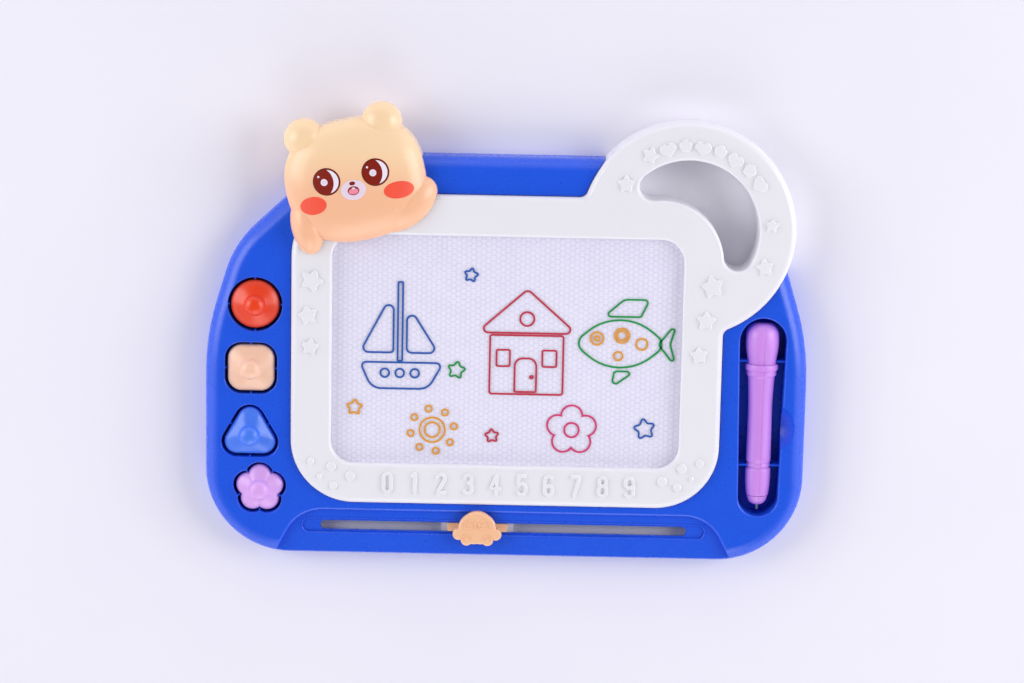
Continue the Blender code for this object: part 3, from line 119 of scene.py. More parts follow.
def add(tree, kind, inputs=None, **settings):
    """Adds a shader node with these settings, and links each input given as a node or an output of one."""
    node = tree.nodes.new(f"ShaderNode{kind}")
    for name, value in settings.items():
        setattr(node, name, value)
    for name, value in (inputs or {}).items():
        if isinstance(value, bpy.types.Node):
            value = next(output for output in value.outputs if output.enabled)
        if isinstance(value, bpy.types.NodeSocket):
            tree.links.new(value, node.inputs[name])
        else:
            node.inputs[name].default_value = value
    return node


def new_material(name):
    """A material, its node tree and a node in it that gives the piece's own coordinates."""
    made = bpy.data.materials.new(name)
    made.use_nodes = True
    tree = made.node_tree
    tree.nodes.clear()
    return made, tree, add(tree, "TexCoord").outputs["Object"]


def matt_paper():
    """Coated white paper: almost even, with a faint mottle, so that shadows lie soft on it."""
    made, tree, where = new_material("matt coated paper")
    mottle = add(tree, "TexNoise", {"Vector": where, "Scale": 6.0, "Detail": 3.0})
    tint = add(tree, "Mix", {
        "Factor": mottle, "A": linear("#efedf8"), "B": linear("#f7f4fb")}, data_type="RGBA")
    shader = add(tree, "BsdfPrincipled", {"Base Color": tint, "Roughness": 0.9})
    add(tree, "OutputMaterial", {"Surface": shader})
    return made


def mesh_of(work, name):
    """A new mesh of a bmesh, which is freed."""
    mesh = bpy.data.meshes.new(name)
    work.to_mesh(mesh)
    work.free()
    return mesh


def new_piece(name, work, material, body=None, sharp=32):
    """Makes a bmesh an object in metres, smooth but for its sharp edges, which rides on a body."""
    bmesh.ops.recalc_face_normals(work, faces=work.faces)
    bmesh.ops.translate(work, verts=work.verts, vec=(0.0, BOARD_Y, 0.0))
    bmesh.ops.scale(work, verts=work.verts, vec=(MM, MM, MM))
    mesh = mesh_of(work, name)
    mesh.materials.append(material)
    mesh.shade_smooth()
    mesh.set_sharp_from_angle(angle=math.radians(sharp))
    made = bpy.data.objects.new(name, mesh)
    bpy.context.scene.collection.objects.link(made)
    if body:
        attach(made, body)
    return made


work = bmesh.new()
bmesh.ops.create_grid(work, x_segments=1, y_segments=1, size=FLOOR_HALF)
floor = new_piece("floor", work, matt_paper())
floor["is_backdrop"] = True

room = bpy.data.worlds.new("pale room")
room.use_nodes = True
tree = room.node_tree
rise = add(tree, "SeparateXYZ", {0: add(tree, "TexCoord").outputs["Generated"]}).outputs["Z"]
glow = add(tree, "MapRange", {
    "Value": rise, "From Min": DIM_FROM, "From Max": DIM_TO, "To Min": ROOM_LOW, "To Max": ROOM_HIGH})
background = tree.nodes["Background"]
background.inputs["Color"].default_value = linear("#f6f5ff")
tree.links.new(glow.outputs["Result"], background.inputs["Strength"])
bpy.context.scene.world = room
for name, at, size, power in LAMPS:
    lamp = bpy.data.objects.new(name, bpy.data.lights.new(name, "AREA"))
    lamp.data.shape = "SQUARE"
    lamp.data.size = size
    lamp.data.energy = power
    lamp.location = at
    lamp.rotation_mode = "QUATERNION"
    lamp.rotation_quaternion = Vector(at).to_track_quat("Z", "Y")
    bpy.context.scene.collection.objects.link(lamp)


# The tray is the blue housing, injection moulded in gloss ABS with a wide round rim.
# The white frame, the stamps, the pen and the slider all sit in places moulded into its face.
# Steps along an arc, in one that matters and in a small one
STEP, COARSE = math.radians(4), math.radians(12)
LEVELS_APART = 20.0
QUARTER = math.pi / 2
TRAY_TOP = 22.0
TRAY_RIM = 10.0
TRAY_CORNERS = ((181.3, -128.2, 51.5), (181.3, 5.65, 148.7), (164.4, 60.7, 60.2), (104.7, 116.5, 108.8))
TRAY_WALL = 2.2
ABOVE = 40.0
WINDOW = (104.9, 70.0, 14.0)
BAND = 24.4
RING_MIDDLE = Vector((106.6, 75.5))
CORNER_MIDDLE = Vector((90.9, 56.0))
RING_RADIUS = 64.3
RING_LAP = 5.0
RING_FILLET = 5.0
FIT = 0.4
FRAME_SEAT, SCREEN_LEDGE, SCREEN_LAP = 19.0, 15.9, 7.0
STAMPS_AT = {
    "round_stamp": Vector((-151.0, 25.8)), "square_stamp": Vector((-153.4, -13.2)),
    "triangle_stamp": Vector((-154.0, -54.0)), "flower_stamp": Vector((-148.0, -87.5)),
}
ROUND_RADIUS = 14.7
SQUARE_HALF, SQUARE_CORNER = 14.1, 8.4
TRIANGLE_HALF, TRIANGLE_CORNER = 12.2, 7.7
POCKET_GAP = 1.6
POCKET_FLOOR = 9.0
# Locating ribs of each pocket: count, share of a step that the first is turned, reach of the stamp's side
RIBS = {
    "round_stamp": (4, 0.0, ROUND_RADIUS), "square_stamp": (4, 0.0, SQUARE_HALF),
    "triangle_stamp": (3, 0.5, TRIANGLE_HALF), "flower_stamp": (5, 0.5, 11.8),
}
RIB_WIDTH = 0.8
RIB_TOP = 21.2
PEN_X = 153.8
PEN_TOP_Y = 19.9
PEN_LENGTH = 113.2
PEN_Z = 14.3
TROUGH_FLOOR = 3.9
TROUGH_WIDE, TROUGH_NARROW = 14.0, 12.0
SCOOP_AT, SCOOP_RADIUS = (159.6, -43.6, 27.57), 16.0
# Clips across the pen trough: share of the pen's length, radius of the notch
CLIPS = ((0.205, 9.4), (0.771, 7.9))
CLIP_TOP, CLIP_REACH = 18.5, 14.2
TRACK_HEIGHT = 19.4
TRACK_TOP_Y = -99.9
TRACK_SLOPE = 2.0 / 28.3
TRACK_CORNERS = (
    (-145.5, -140.0, 0.01), (145.5, -140.0, 0.01), (124.4, TRACK_TOP_Y, 25.0), (-124.4, TRACK_TOP_Y, 25.0),
)
SLOT_Y = -110.0
GROOVE_HALF = (122.2, 4.1)
SLOT_HALF = (111.3, 2.95)
ROOM_HALF = 114.5


def surface(name, tints, rough, relief, painted_light=None, cover=None, **inputs):
    """A material whose two tints, roughness and relief are each spread by a noise.

    Each is given as two values, the size of its patches in millimetres and the noise's detail. A relief's
    values are its strength and its depth in millimetres. A painted light is a third tint, a painted sheen,
    and the two places up the board between which it takes over. A cover is how little and how much a clear
    material hides.
    """
    made, tree, where = new_material(name)
    spread = [
        add(tree, "TexNoise", {"Vector": where, "Scale": 1 / (size * MM), "Detail": detail})
        for _, _, size, detail in (tints, rough, relief)
    ]
    tint = add(tree, "Mix", {"Factor": spread[0], "A": tints[0], "B": tints[1]}, data_type="RGBA")
    # Painted light: a third tint takes over toward the top of the board, a painted sheen of light from
    # above.
    if painted_light:
        other, low, high = painted_light
        along = add(tree, "SeparateXYZ", {0: where}).outputs["Y"]
        share = add(tree, "MapRange", {
            "Value": along, "From Min": place(0.0, low).y, "From Max": place(0.0, high).y},
            interpolation_type="SMOOTHSTEP")
        tint = add(tree, "Mix", {"Factor": share, "A": tint, "B": linear(other)}, data_type="RGBA")
    if cover:
        inputs["Alpha"] = add(tree, "MapRange", {"Value": spread[1], "To Min": cover[0], "To Max": cover[1]})
    gloss = add(tree, "MapRange", {"Value": spread[1], "To Min": rough[0], "To Max": rough[1]})
    bump = add(tree, "Bump", {"Height": spread[2], "Strength": relief[0], "Distance": relief[1] * MM})
    shader = add(tree, "BsdfPrincipled", {"Base Color": tint, "Roughness": gloss, "Normal": bump, **inputs})
    add(tree, "OutputMaterial", {"Surface": shader})
    return made


def moulded_abs(name, colour, roughness, shade=0.93, painted_light=None):
    """Gloss ABS from a polished mould: a faint flow mottle, a light haze from handling and soft ripples."""
    # Flow marks are 20 mm patches, the haze has patches of 9 mm, and ripples are 3 mm across.
    return surface(
        name, (linear(colour), linear(colour, shade), 20, 2.0), (roughness - 0.05, roughness + 0.07, 9, 4.0),
        (0.025, 0.1, 3, 1.0), painted_light, IOR=1.53)


def pointing(angle):
    return Vector((math.cos(angle), math.sin(angle)))


def angle_to(start, end):
    return math.atan2(end[1] - start[1], end[0] - start[0])


def corner_arcs(corners, grow=0.0):
    """The round corners of an outline as arcs of middle, radius, start and end, moved outwards by grow.

    A corner that points inwards is given a negative radius.
    """
    places = [Vector(corner[:2]) for corner in corners]
    along = [(places[(k + 1) % len(places)] - places[k]).normalized() for k in range(len(places))]
    arcs = []
    for k, corner in enumerate(corners):
        before, after = along[k - 1], along[k]
        turn = math.atan2(before.cross(after), before.dot(after))
        inward = Vector((-before.y, before.x))
        bend = (inward + Vector((-after.y, after.x))).normalized()
        moved = places[k] - bend * (grow / math.cos(turn / 2))
        radius = corner[2] + grow
        start = moved - before * (radius * math.tan(turn / 2))
        middle = start + inward * radius
        angle = angle_to(middle, start)
        arcs.append((middle, abs(radius), angle, angle + turn))
    return arcs


def loop(*corners):
    """A shape is a function that gives an outline's arcs for any growth. This one joins round corners."""
    return lambda grow: corner_arcs(corners, grow)


def ring(x, y, radius):
    """The shape of a circle, as two half circles."""
    return lambda grow: [((x, y), radius + grow, math.pi * k, math.pi * (k + 1)) for k in range(2)]


def box(half_width, half_height, radius, middle=(0.0, 0.0)):
    """The shape of a box with round corners."""
    x, y = middle
    signs = ((-1, -1), (1, -1), (1, 1), (-1, 1))
    return lambda grow: corner_arcs(
        [(x + h * (half_width + grow), y + v * (half_height + grow), radius + grow) for h, v in signs])


def ring_meets(side, top, reach):
    """Where a circle about the ring's middle crosses an upright line and a level one."""
    x, y = RING_MIDDLE
    return (side, y - math.sqrt(reach**2 - (side - x) ** 2)), (x - math.sqrt(reach**2 - (top - y) ** 2), top)


def frame_arcs(grow):
    """The white frame's outline, with the ring of the handle growing out of its top right corner."""
    w, h = WINDOW[0] + BAND, WINDOW[1] + BAND
    met = ring_meets(w + RING_FILLET, h + RING_FILLET, RING_RADIUS + RING_FILLET)
    by_side, by_top = (Vector(spot) for spot in met)
    low, high = angle_to(RING_MIDDLE, by_side), angle_to(RING_MIDDLE, by_top)
    corners = box(w, h, WINDOW[2] + BAND)(grow)
    handle = [
        (by_side, RING_FILLET - grow, math.pi, low + math.pi),
        (RING_MIDDLE, RING_RADIUS + grow, low, high),
        (by_top, RING_FILLET - grow, high - math.pi, -QUARTER),
    ]
    return corners[:2] + handle + corners[3:]


def ring_box_arcs(grow):
    """The deep part of the handle, outside a line that runs inside the frame's edge."""
    side = WINDOW[0] + BAND - RING_LAP - grow
    top = WINDOW[1] + BAND - RING_LAP - grow
    radius = RING_RADIUS + grow
    low, high = ring_meets(side, top, radius)
    return [
        (RING_MIDDLE, radius, angle_to(RING_MIDDLE, low), angle_to(RING_MIDDLE, high)),
        (CORNER_MIDDLE, side - CORNER_MIDDLE.x, QUARTER, 0.0),
    ]


def trough_arcs(grow):
    """Two unlike circles and the lines that touch both."""
    top, foot = Vector((PEN_X, 9.1)), Vector((PEN_X, -86.6))
    lean = math.asin((TROUGH_WIDE - TROUGH_NARROW) / (top.y - foot.y))
    return [
        (top, TROUGH_WIDE + grow, -lean, math.pi + lean),
        (foot, TROUGH_NARROW + grow, math.pi + lean, 2 * math.pi - lean),
    ]


def flower_arcs(middle, grow, petal=7.2, reach=7.5):
    half = math.pi / 5
    notch = reach * math.cos(half) + math.sqrt((petal + grow) ** 2 - (reach * math.sin(half)) ** 2)
    arcs = []
    for k in range(5):
        way = QUARTER + 2 * half * k
        centre = Vector((reach * math.cos(way), reach * math.sin(way)))
        start, end = (angle_to(centre, notch * pointing(way + turn)) for turn in (-half, half))
        arcs.append((centre + middle, petal + grow, start, start + (end - start) % (2 * math.pi)))
    return arcs


def stamp_arcs(name, grow):
    """The outline of a stamp, or of its pocket."""
    middle = STAMPS_AT[name]
    if name == "round_stamp":
        return ring(*middle, ROUND_RADIUS)(grow)
    if name == "square_stamp":
        return box(SQUARE_HALF, SQUARE_HALF, SQUARE_CORNER, middle)(grow)
    if name == "triangle_stamp":
        turns = [math.radians(90 + 120 * k) for k in range(3)]
        tips = [middle + 2 * TRIANGLE_HALF * pointing(turn) for turn in turns]
        return corner_arcs([(*tip, TRIANGLE_CORNER) for tip in tips], grow)
    return flower_arcs(middle, grow)


def drawn(shape, levels, step=STEP, band=False):
    """A closed bmesh through an outline drawn at each level, given as how far it grows and its height.

    Each arc is spun from one vertex, and the outlines are bridged from level to level. A band is open
    inside: its last level is bridged to its first. Bridging pairs outlines rightly only while they lie far
    apart, so each gets its own height after that.
    """
    work = bmesh.new()
    mark = work.verts.layers.int.new("level")
    counts = [max(1, math.ceil(abs(end - start) / step - 0.01)) for _, _, start, end in shape(0.0)]
    for k, (grow, _) in enumerate(levels):
        apart = LEVELS_APART * k
        firsts, lasts = [], []
        for (middle, radius, start, end), count in zip(shape(grow), counts):
            x, y = middle[0] + radius * math.cos(start), middle[1] + radius * math.sin(start)
            first = work.verts.new((x, y, apart))
            first[mark] = k
            swept = bmesh.ops.spin(
                work, geom=[first], cent=(middle[0], middle[1], apart), axis=(0, 0, 1), angle=end - start,
                steps=count)
            firsts.append(first)
            lasts.append([item for item in swept["geom_last"] if isinstance(item, bmesh.types.BMVert)][0])
        joined = {}
        for n, first in enumerate(firsts):
            if (lasts[n - 1].co - first.co).length > 1e-3:
                work.edges.new((lasts[n - 1], first))
            else:
                joined[lasts[n - 1]] = first
        bmesh.ops.weld_verts(work, targetmap=joined)
    rings = [[edge for edge in work.edges if edge.verts[0][mark] == k] for k in range(len(levels))]
    for lower, upper in zip(rings, rings[1:] + rings[:1] if band else rings[1:]):
        bmesh.ops.bridge_loops(work, edges=lower + upper)
    for edges in () if band else (rings[0], rings[-1]):
        bmesh.ops.edgeloop_fill(work, edges=edges)
    for vert in work.verts:
        vert.co.z = levels[vert[mark]][1]
    bmesh.ops.recalc_face_normals(work, faces=work.faces)
    return work


def plate(low, high, rim, steps=8):
    """Levels of a plate with a round upper rim."""
    angles = [QUARTER * k / steps for k in range(steps + 1)]
    return [(0.0, low)] + [(-rim * (1 - math.cos(a)), high - rim + rim * math.sin(a)) for a in angles]


def mouth(low, high, flare, steps=4):
    """Levels of a cutter that leaves the edge of its hole round."""
    return [(-grow, height) for grow, height in plate(low, high, flare, steps)] + [(flare, ABOVE)]


def shaped_by(base, cutters, operation="DIFFERENCE"):
    """A bmesh with others taken from it or joined to it, in one exact Boolean."""
    group = bpy.data.collections.new("cutters")
    tools = [bpy.data.objects.new("cutter", mesh_of(work, "cutter")) for work in [base] + cutters]
    for tool in tools[1:]:
        group.objects.link(tool)
    blank = tools[0]
    bpy.context.scene.collection.objects.link(blank)
    modifier = blank.modifiers.new("cut", "BOOLEAN")
    modifier.operation = operation
    modifier.solver = "EXACT"
    modifier.operand_type = "COLLECTION"
    modifier.collection = group
    graph = bpy.context.evaluated_depsgraph_get()
    graph.update()
    shaped = bpy.data.meshes.new_from_object(blank.evaluated_get(graph), depsgraph=graph)
    made = bmesh.new()
    made.from_mesh(shaped)
    for tool in tools:
        bpy.data.meshes.remove(tool.data)
    bpy.data.collections.remove(group)
    bpy.data.meshes.remove(shaped)
    bmesh.ops.remove_doubles(made, verts=made.verts, dist=1e-4)
    return made


def joined(forms):
    """Several closed forms as one bmesh."""
    for form in forms[1:]:
        mesh = mesh_of(form, "form")
        forms[0].from_mesh(mesh)
        bpy.data.meshes.remove(mesh)
    return forms[0]


def set_down(work, spot, height=0.0, way=0.0, size=(1.0, 1.0, 1.0)):
    """Scales a form, turns it about the upright axis and moves it to a spot on the board."""
    bmesh.ops.scale(work, verts=work.verts, vec=size)
    bmesh.ops.rotate(work, verts=work.verts, matrix=Matrix.Rotation(way, 3, "Z"))
    bmesh.ops.translate(work, verts=work.verts, vec=(*spot, height))
    return work


def block(low, high):
    """A box between two corners."""
    work = bmesh.new()
    bmesh.ops.create_cube(work, size=1.0)
    low, high = Vector(low), Vector(high)
    x, y, z = (low + high) / 2
    return set_down(work, (x, y), z, size=high - low)


def even_out(piece):
    """Weighted normals keep large flat faces flat beside rounded edges."""
    modifier = piece.modifiers.new("even normals", "WEIGHTED_NORMAL")
    modifier.keep_sharp = True
    return piece


def track_z(y):
    return TRACK_HEIGHT + (y - TRACK_TOP_Y) * TRACK_SLOPE


def on_track(work, lift=0.0):
    """Lays the foot of a plate parallel to the sloping track."""
    foot = min(vert.co.z for vert in work.verts)
    for vert in work.verts:
        if abs(vert.co.z - foot) < 1e-4:
            vert.co.z = track_z(vert.co.y) + lift
    return work


body_arcs = loop(*TRAY_CORNERS, *[(-x, y, radius) for x, y, radius in reversed(TRAY_CORNERS)])
window_arcs = box(*WINDOW)
groove_arcs = box(*GROOVE_HALF, GROOVE_HALF[1], (0.0, SLOT_Y))
blue_abs = moulded_abs("blue gloss ABS", "#1f5ae8", 0.27)
scoop = bmesh.new()
bmesh.ops.create_uvsphere(scoop, u_segments=64, v_segments=32, radius=SCOOP_RADIUS)
bmesh.ops.translate(scoop, verts=scoop.verts, vec=SCOOP_AT)
tray_cuts = [
    drawn(ring_box_arcs, [(FIT, -2.0), (FIT, ABOVE)]),
    drawn(lambda grow: frame_arcs(grow + FIT), mouth(FRAME_SEAT, TRAY_TOP, 0.6)),
    drawn(window_arcs, [(SCREEN_LAP + FIT, SCREEN_LEDGE), (SCREEN_LAP + FIT, ABOVE)]),
    drawn(window_arcs, [(1.0, -3.0), (1.0, ABOVE)]),
    drawn(body_arcs, [(-TRAY_WALL, -4.0), (-TRAY_WALL, 2.3)]),
    drawn(trough_arcs, mouth(TROUGH_FLOOR, TRAY_TOP, 1.2)),
    scoop,
    on_track(drawn(loop(*TRACK_CORNERS), mouth(15.0, TRAY_TOP, 1.8, 6))),
    drawn(box(ROOM_HALF, 6.8, 0.5, (0, SLOT_Y)), [(0.0, 1.0), (0.0, 15.3)]),
    drawn(box(ROOM_HALF, 98.5, 8.0, (0, -18.5)), [(0.0, 1.5), (0.0, 13.2)]),
]
pocket = mouth(POCKET_FLOOR, TRAY_TOP, 0.8)
for name in STAMPS_AT:
    tray_cuts.append(drawn(lambda grow: stamp_arcs(name, POCKET_GAP + grow), pocket))
work = shaped_by(drawn(body_arcs, plate(0.0, TRAY_TOP, TRAY_RIM, 12)), tray_cuts)
work = shaped_by(work, [
    on_track(drawn(groove_arcs, [(0.0, 14.0), (0.0, ABOVE)]), -0.8),
    drawn(box(*SLOT_HALF, SLOT_HALF[1], (0, SLOT_Y)), [(0.0, 4.0), (0.0, ABOVE)]),
])
forms = [work]
for name, (count, shift, reach) in RIBS.items():
    for k in range(count):
        low = (reach + POCKET_GAP - 1.0, -RIB_WIDTH / 2, POCKET_FLOOR - 0.5)
        rib = block(low, (reach + POCKET_GAP + 1.0, RIB_WIDTH / 2, RIB_TOP))
        way = QUARTER + 2 * math.pi * (k + shift) / count
        forms.append(set_down(rib, STAMPS_AT[name], way=way))
for share, notch in CLIPS:
    y = PEN_TOP_Y - share * PEN_LENGTH
    rod = bmesh.new()
    bmesh.ops.create_cone(rod, cap_ends=True, segments=48, radius1=notch, radius2=notch, depth=4.0)
    bmesh.ops.rotate(rod, verts=rod.verts, matrix=Matrix.Rotation(QUARTER, 3, "X"))
    bmesh.ops.translate(rod, verts=rod.verts, vec=(PEN_X, y, PEN_Z))
    clip = block((PEN_X - CLIP_REACH, y - 0.5, TROUGH_FLOOR - 0.5), (PEN_X + CLIP_REACH, y + 0.5, CLIP_TOP))
    forms.append(shaped_by(clip, [rod]))
bead = [(0.0, -0.4), (0.0, 0.2), (0.25, 0.4), (0.6, 0.4), (0.85, 0.2), (0.85, -0.4)]
bead = drawn(groove_arcs, bead, band=True)
for vert in bead.verts:
    vert.co.z += track_z(vert.co.y)
forms.append(bead)
tray = even_out(new_piece("moulded_tray", joined(forms), blue_abs, "board"))
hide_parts("front_tray")


# The white frame is a gloss ABS moulding pressed into its seat, with the ring handle in one piece.
# Its rim, window and grip hole are rounded to suit a child's hands.
FRAME_FOOT = 19.3
FRAME_TOP = 26.0
COVER_SEAT = 2.3
FILM_FOOT = 20.5
GRIP_OUTER = 42.3
GRIP_INNER = 37.5
GRIP_END = 8.6


def grip_arcs(grow):
    """The crescent hole of the handle: two unlike arcs joined by round ends."""
    outer, inner = GRIP_OUTER - GRIP_END, GRIP_INNER + GRIP_END
    apart = CORNER_MIDDLE - RING_MIDDLE
    along = (outer**2 - inner**2 + apart.length_squared) / (2 * apart.length)
    beside = math.sqrt(outer**2 - along**2)
    toward = apart.normalized()
    side = Vector((-toward.y, toward.x))
    ends = [RING_MIDDLE + toward * along + side * sign * beside for sign in (1, -1)]
    low, high = sorted(ends, key=lambda point: point.y)
    full = 2 * math.pi
    from_low, from_high = angle_to(RING_MIDDLE, low), angle_to(RING_MIDDLE, high)
    low_start, high_end = angle_to(low, CORNER_MIDDLE), angle_to(high, CORNER_MIDDLE)
    inner_start, inner_end = angle_to(CORNER_MIDDLE, high), angle_to(CORNER_MIDDLE, low)
    return [
        (RING_MIDDLE, GRIP_OUTER + grow, from_low, from_high),
        (high, GRIP_END + grow, from_high, from_high + (high_end - from_high) % full),
        (CORNER_MIDDLE, GRIP_INNER - grow, inner_start, inner_end),
        (low, GRIP_END + grow, low_start, low_start + (from_low - low_start) % full),
    ]


white_abs = moulded_abs("white gloss ABS", "#f1f0f4", 0.3, 0.97)
work = drawn(frame_arcs, plate(FRAME_FOOT, FRAME_TOP, 4.0))
work = shaped_by(work, [drawn(ring_box_arcs, [(0.0, COVER_SEAT), (0.0, FRAME_TOP - 4.5)])], "UNION")
work = shaped_by(work, [
    drawn(window_arcs, [(SCREEN_LAP + FIT, 10.0), (SCREEN_LAP + FIT, FILM_FOOT)]),
    drawn(window_arcs, mouth(0.0, FRAME_TOP, 2.0, 6)),
    drawn(grip_arcs, mouth(0.0, FRAME_TOP, 2.0, 6)),
])
white_frame = even_out(new_piece("moulded_frame", work, white_abs, "board"))
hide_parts("white_frame")


# The frame's ornaments stand a little proud of its face and are moulded in one with it.
# Stars run down its sides, dots fill its lower corners, digits stand under the screen, and hearts and
# flowers follow the ring.
RAISED = 1.2
STARS = (
    (-116.8, 41.6, 7.8, 68), (-119.1, 20.5, 6.6, 104), (-117.7, 1.3, 6.0, 82), (69.0, 103.2, 6.0, 90),
    (82.8, 120.5, 5.7, 72), (156.0, 80.0, 4.8, 84), (152.6, 54.8, 6.0, 100), (122.0, 42.6, 7.8, 103),
    (118.8, 21.7, 6.6, 88), (115.2, 0.7, 6.0, 96),
)
DOTS = (
    (-116.9, -68.6, 2.1), (-104.4, -71.7, 2.8), (-111.3, -77.7, 1.5), (-103.0, -83.6, 2.3),
    (-92.8, -77.4, 2.9), (107.0, -69.0, 2.9), (117.8, -65.4, 2.4), (112.8, -75.2, 1.5),
    (104.4, -80.6, 2.5), (95.4, -77.0, 2.9),
)
HEART_ARC = 51.2
HEART_WAYS = (105.5, 82.0, 58.5, 35.0)
DIGITS_Y = -81.0
DIGITS_START = -70.5
DIGITS_PITCH = 16.24
DIGIT_SCALE = 1.05
STROKE = 0.98
# Strokes of each digit: loops of half width, half height and middle, bars between places, and bows
LOOPS = {0: ((2.15, 5.35, 0.0),), 6: ((2.15, 2.75, -2.6),), 8: ((1.95, 2.4, 2.95), (2.2, 2.95, -2.4)),
         9: ((2.15, 2.75, 2.6),)}
BARS = {
    1: (((0.4, -5.35), (0.4, 5.35)), ((0.4, 5.35), (-1.3, 4.1))),
    2: (((1.95, 2.3), (-1.9, -5.35)), ((-1.9, -5.35), (2.2, -5.35))),
    4: (((0.9, 5.35), (-2.3, -2.2)), ((-2.3, -2.2), (2.6, -2.2)), ((0.9, 5.35), (0.9, -5.35))),
    5: (((-1.7, 5.35), (1.9, 5.35)), ((-1.7, 5.35), (-1.85, 0.4))),
    6: (((-2.15, 3.2), (-2.15, -2.6)),),
    7: (((-2.2, 5.35), (2.1, 5.35)), ((2.1, 5.35), (-0.6, -5.35))),
    9: (((2.15, 2.6), (2.15, -3.2)),),
}
BOWS = {
    2: ((((0.0, 3.2), 2.15, 165, -25),),),
    3: ((((0.0, 3.2), 2.15, 150, 0), ((0.0, 2.75), 2.15, 0, -80)),
        (((0.0, -1.55), 2.15, 80, 0), ((0.0, -3.2), 2.15, 0, -150))),
    5: ((((-0.05, -1.2), 2.2, 140, 0), ((-0.05, -3.15), 2.2, 0, -150)),),
    6: ((((0.0, 3.2), 2.15, 30, 180),),),
    9: ((((0.0, -3.2), 2.15, -150, 0),),),
}


def star_arcs(radius, way, grow):
    """A star with five round points and softer inner corners."""
    corners = []
    for k in range(10):
        reach, corner = (1.06 * radius, 0.16 * radius) if k % 2 == 0 else (0.55 * radius, -0.22 * radius)
        turn = math.radians(way + 36 * k)
        corners.append((reach * math.cos(turn), reach * math.sin(turn), corner))
    return corner_arcs(corners, grow)


def heart_arcs(size, grow):
    """Two lobes and the tip under them, each an arc that the next is tangent to."""
    lobe, tip = Vector((0.40, 0.0)) * size, Vector((0.0, -0.86)) * size
    lobe_radius, tip_radius = 0.58 * size + grow, 0.16 * size + grow
    toward = lobe - tip
    side = math.atan2(toward.y, toward.x) - QUARTER - math.asin((lobe_radius - tip_radius) / toward.length)
    notch = math.acos(-lobe.x / lobe_radius)
    return [
        (tip, tip_radius, math.pi - side - 2 * math.pi, side),
        (lobe, lobe_radius, side, notch),
        (Vector((-lobe.x, 0.0)), lobe_radius, math.pi - notch, math.pi - side),
    ]


def bar_arcs(start, end, grow):
    """A round-ended bar between two places."""
    way, half = angle_to(start, end), STROKE + grow
    return [(start, half, way + QUARTER, way + 3 * QUARTER), (end, half, way - QUARTER, way + QUARTER)]


def bow_arcs(path, grow):
    """A round-ended stroke along arcs of middle, radius, start and end in degrees, clockwise or not."""
    half = STROKE + grow
    arcs = [(Vector(spot), radius, math.radians(a), math.radians(b)) for spot, radius, a, b in path]
    turn = 1 if arcs[0][3] > arcs[0][2] else -1
    there = [(spot, radius + half * turn, a, b) for spot, radius, a, b in arcs]
    again = [(spot, radius - half * turn, b, a) for spot, radius, a, b in reversed(arcs)]
    spot, radius, _, b = arcs[-1]
    last = spot + radius * pointing(b)
    end_cap = (last, half, b - math.pi * (turn < 0), b + math.pi * (turn > 0))
    spot, radius, a, _ = arcs[0]
    first = spot + radius * pointing(a)
    start_cap = (first, half, a + math.pi * (turn > 0), a + math.pi * (1 + (turn > 0)))
    return there + [end_cap] + again + [start_cap]


def band_levels(half, low, high, rim, steps=3):
    """Levels of a band with round edges, up its outer side and down its inner."""
    outer = [(half, low)] + [(grow + half, height) for grow, height in plate(low, high, rim, steps)[1:]]
    return outer + [(-grow, height) for grow, height in reversed(outer)]


def on_ring(shape, way):
    """An ornament at this angle on the ring, with its top outwards."""
    turn = math.radians(way)
    spot = RING_MIDDLE + HEART_ARC * pointing(turn)
    return set_down(drawn(shape, raised, COARSE), spot, way=turn - QUARTER)


ornaments = []
foot, crest = FRAME_TOP - 0.5, FRAME_TOP + RAISED
raised = plate(foot, crest, 0.7, 4)
for x, y, radius, way in STARS:
    star = drawn(lambda grow: star_arcs(radius, way, grow), raised, COARSE)
    ornaments.append(set_down(star, (x, y)))
for x, y, radius in DOTS:
    ornaments.append(drawn(ring(x, y, radius), raised, COARSE))
for k, way in enumerate(HEART_WAYS):
    ornaments.append(on_ring(lambda grow: heart_arcs(5.0, grow), way))
    if k:
        between = (way + HEART_WAYS[k - 1]) / 2
        ornaments.append(on_ring(lambda grow: flower_arcs(Vector((0.0, 0.0)), grow, 2.0, 1.9), between))
soft, soft_band = plate(foot, crest, 0.4, 3), band_levels(STROKE, foot, crest, 0.4)
for k in range(10):
    strokes = []
    for half_width, half_height, y in LOOPS.get(k, ()):
        outline = box(half_width, half_height, half_width - 0.05, (0.0, y))
        strokes.append(drawn(outline, soft_band, COARSE, band=True))
    for ends in BARS.get(k, ()):
        strokes.append(drawn(lambda grow: bar_arcs(*ends, grow), soft, COARSE))
    for path in BOWS.get(k, ()):
        strokes.append(drawn(lambda grow: bow_arcs(path, grow), soft, COARSE))
    # Strokes that cross have tops a hundredth of a millimetre apart.
    for n, stroke in enumerate(strokes):
        spot = (DIGITS_START + k * DIGITS_PITCH, DIGITS_Y)
        ornaments.append(set_down(stroke, spot, 0.01 * n, size=(DIGIT_SCALE, DIGIT_SCALE, 1.0)))
new_piece("frame_ornaments", joined(ornaments), white_abs, "board", 40)


# The bear's head is a peach ABS shell that clips over the corner of the frame, with round ears.
# Its dome is full in the middle and falls away evenly to its edge, and two paws hold the frame.
BEAR_AT = Vector((-91.5, 102.2))
BEAR_TILT = math.radians(12.5)
BEAR_HALF = Vector((41.8, 36.2))
BEAR_BASE = 24.0
BEAR_DOME = 14.3
BEAR_SKIRT = 11.0
BEAR_SQUARENESS = 2.4
BEAR_EARS = ((-0.73, 0.577), (0.364, 0.8417))
BEAR_PAWS = ((-0.677, -0.655, 18.2, 9.8, -79), (0.708, -0.332, 22.1, 13.3, 39))


def powered(value):
    """The dome's fullness: a circle's coordinate, pushed out toward a square's."""
    return math.copysign(abs(value) ** (2 / BEAR_SQUARENESS), value)


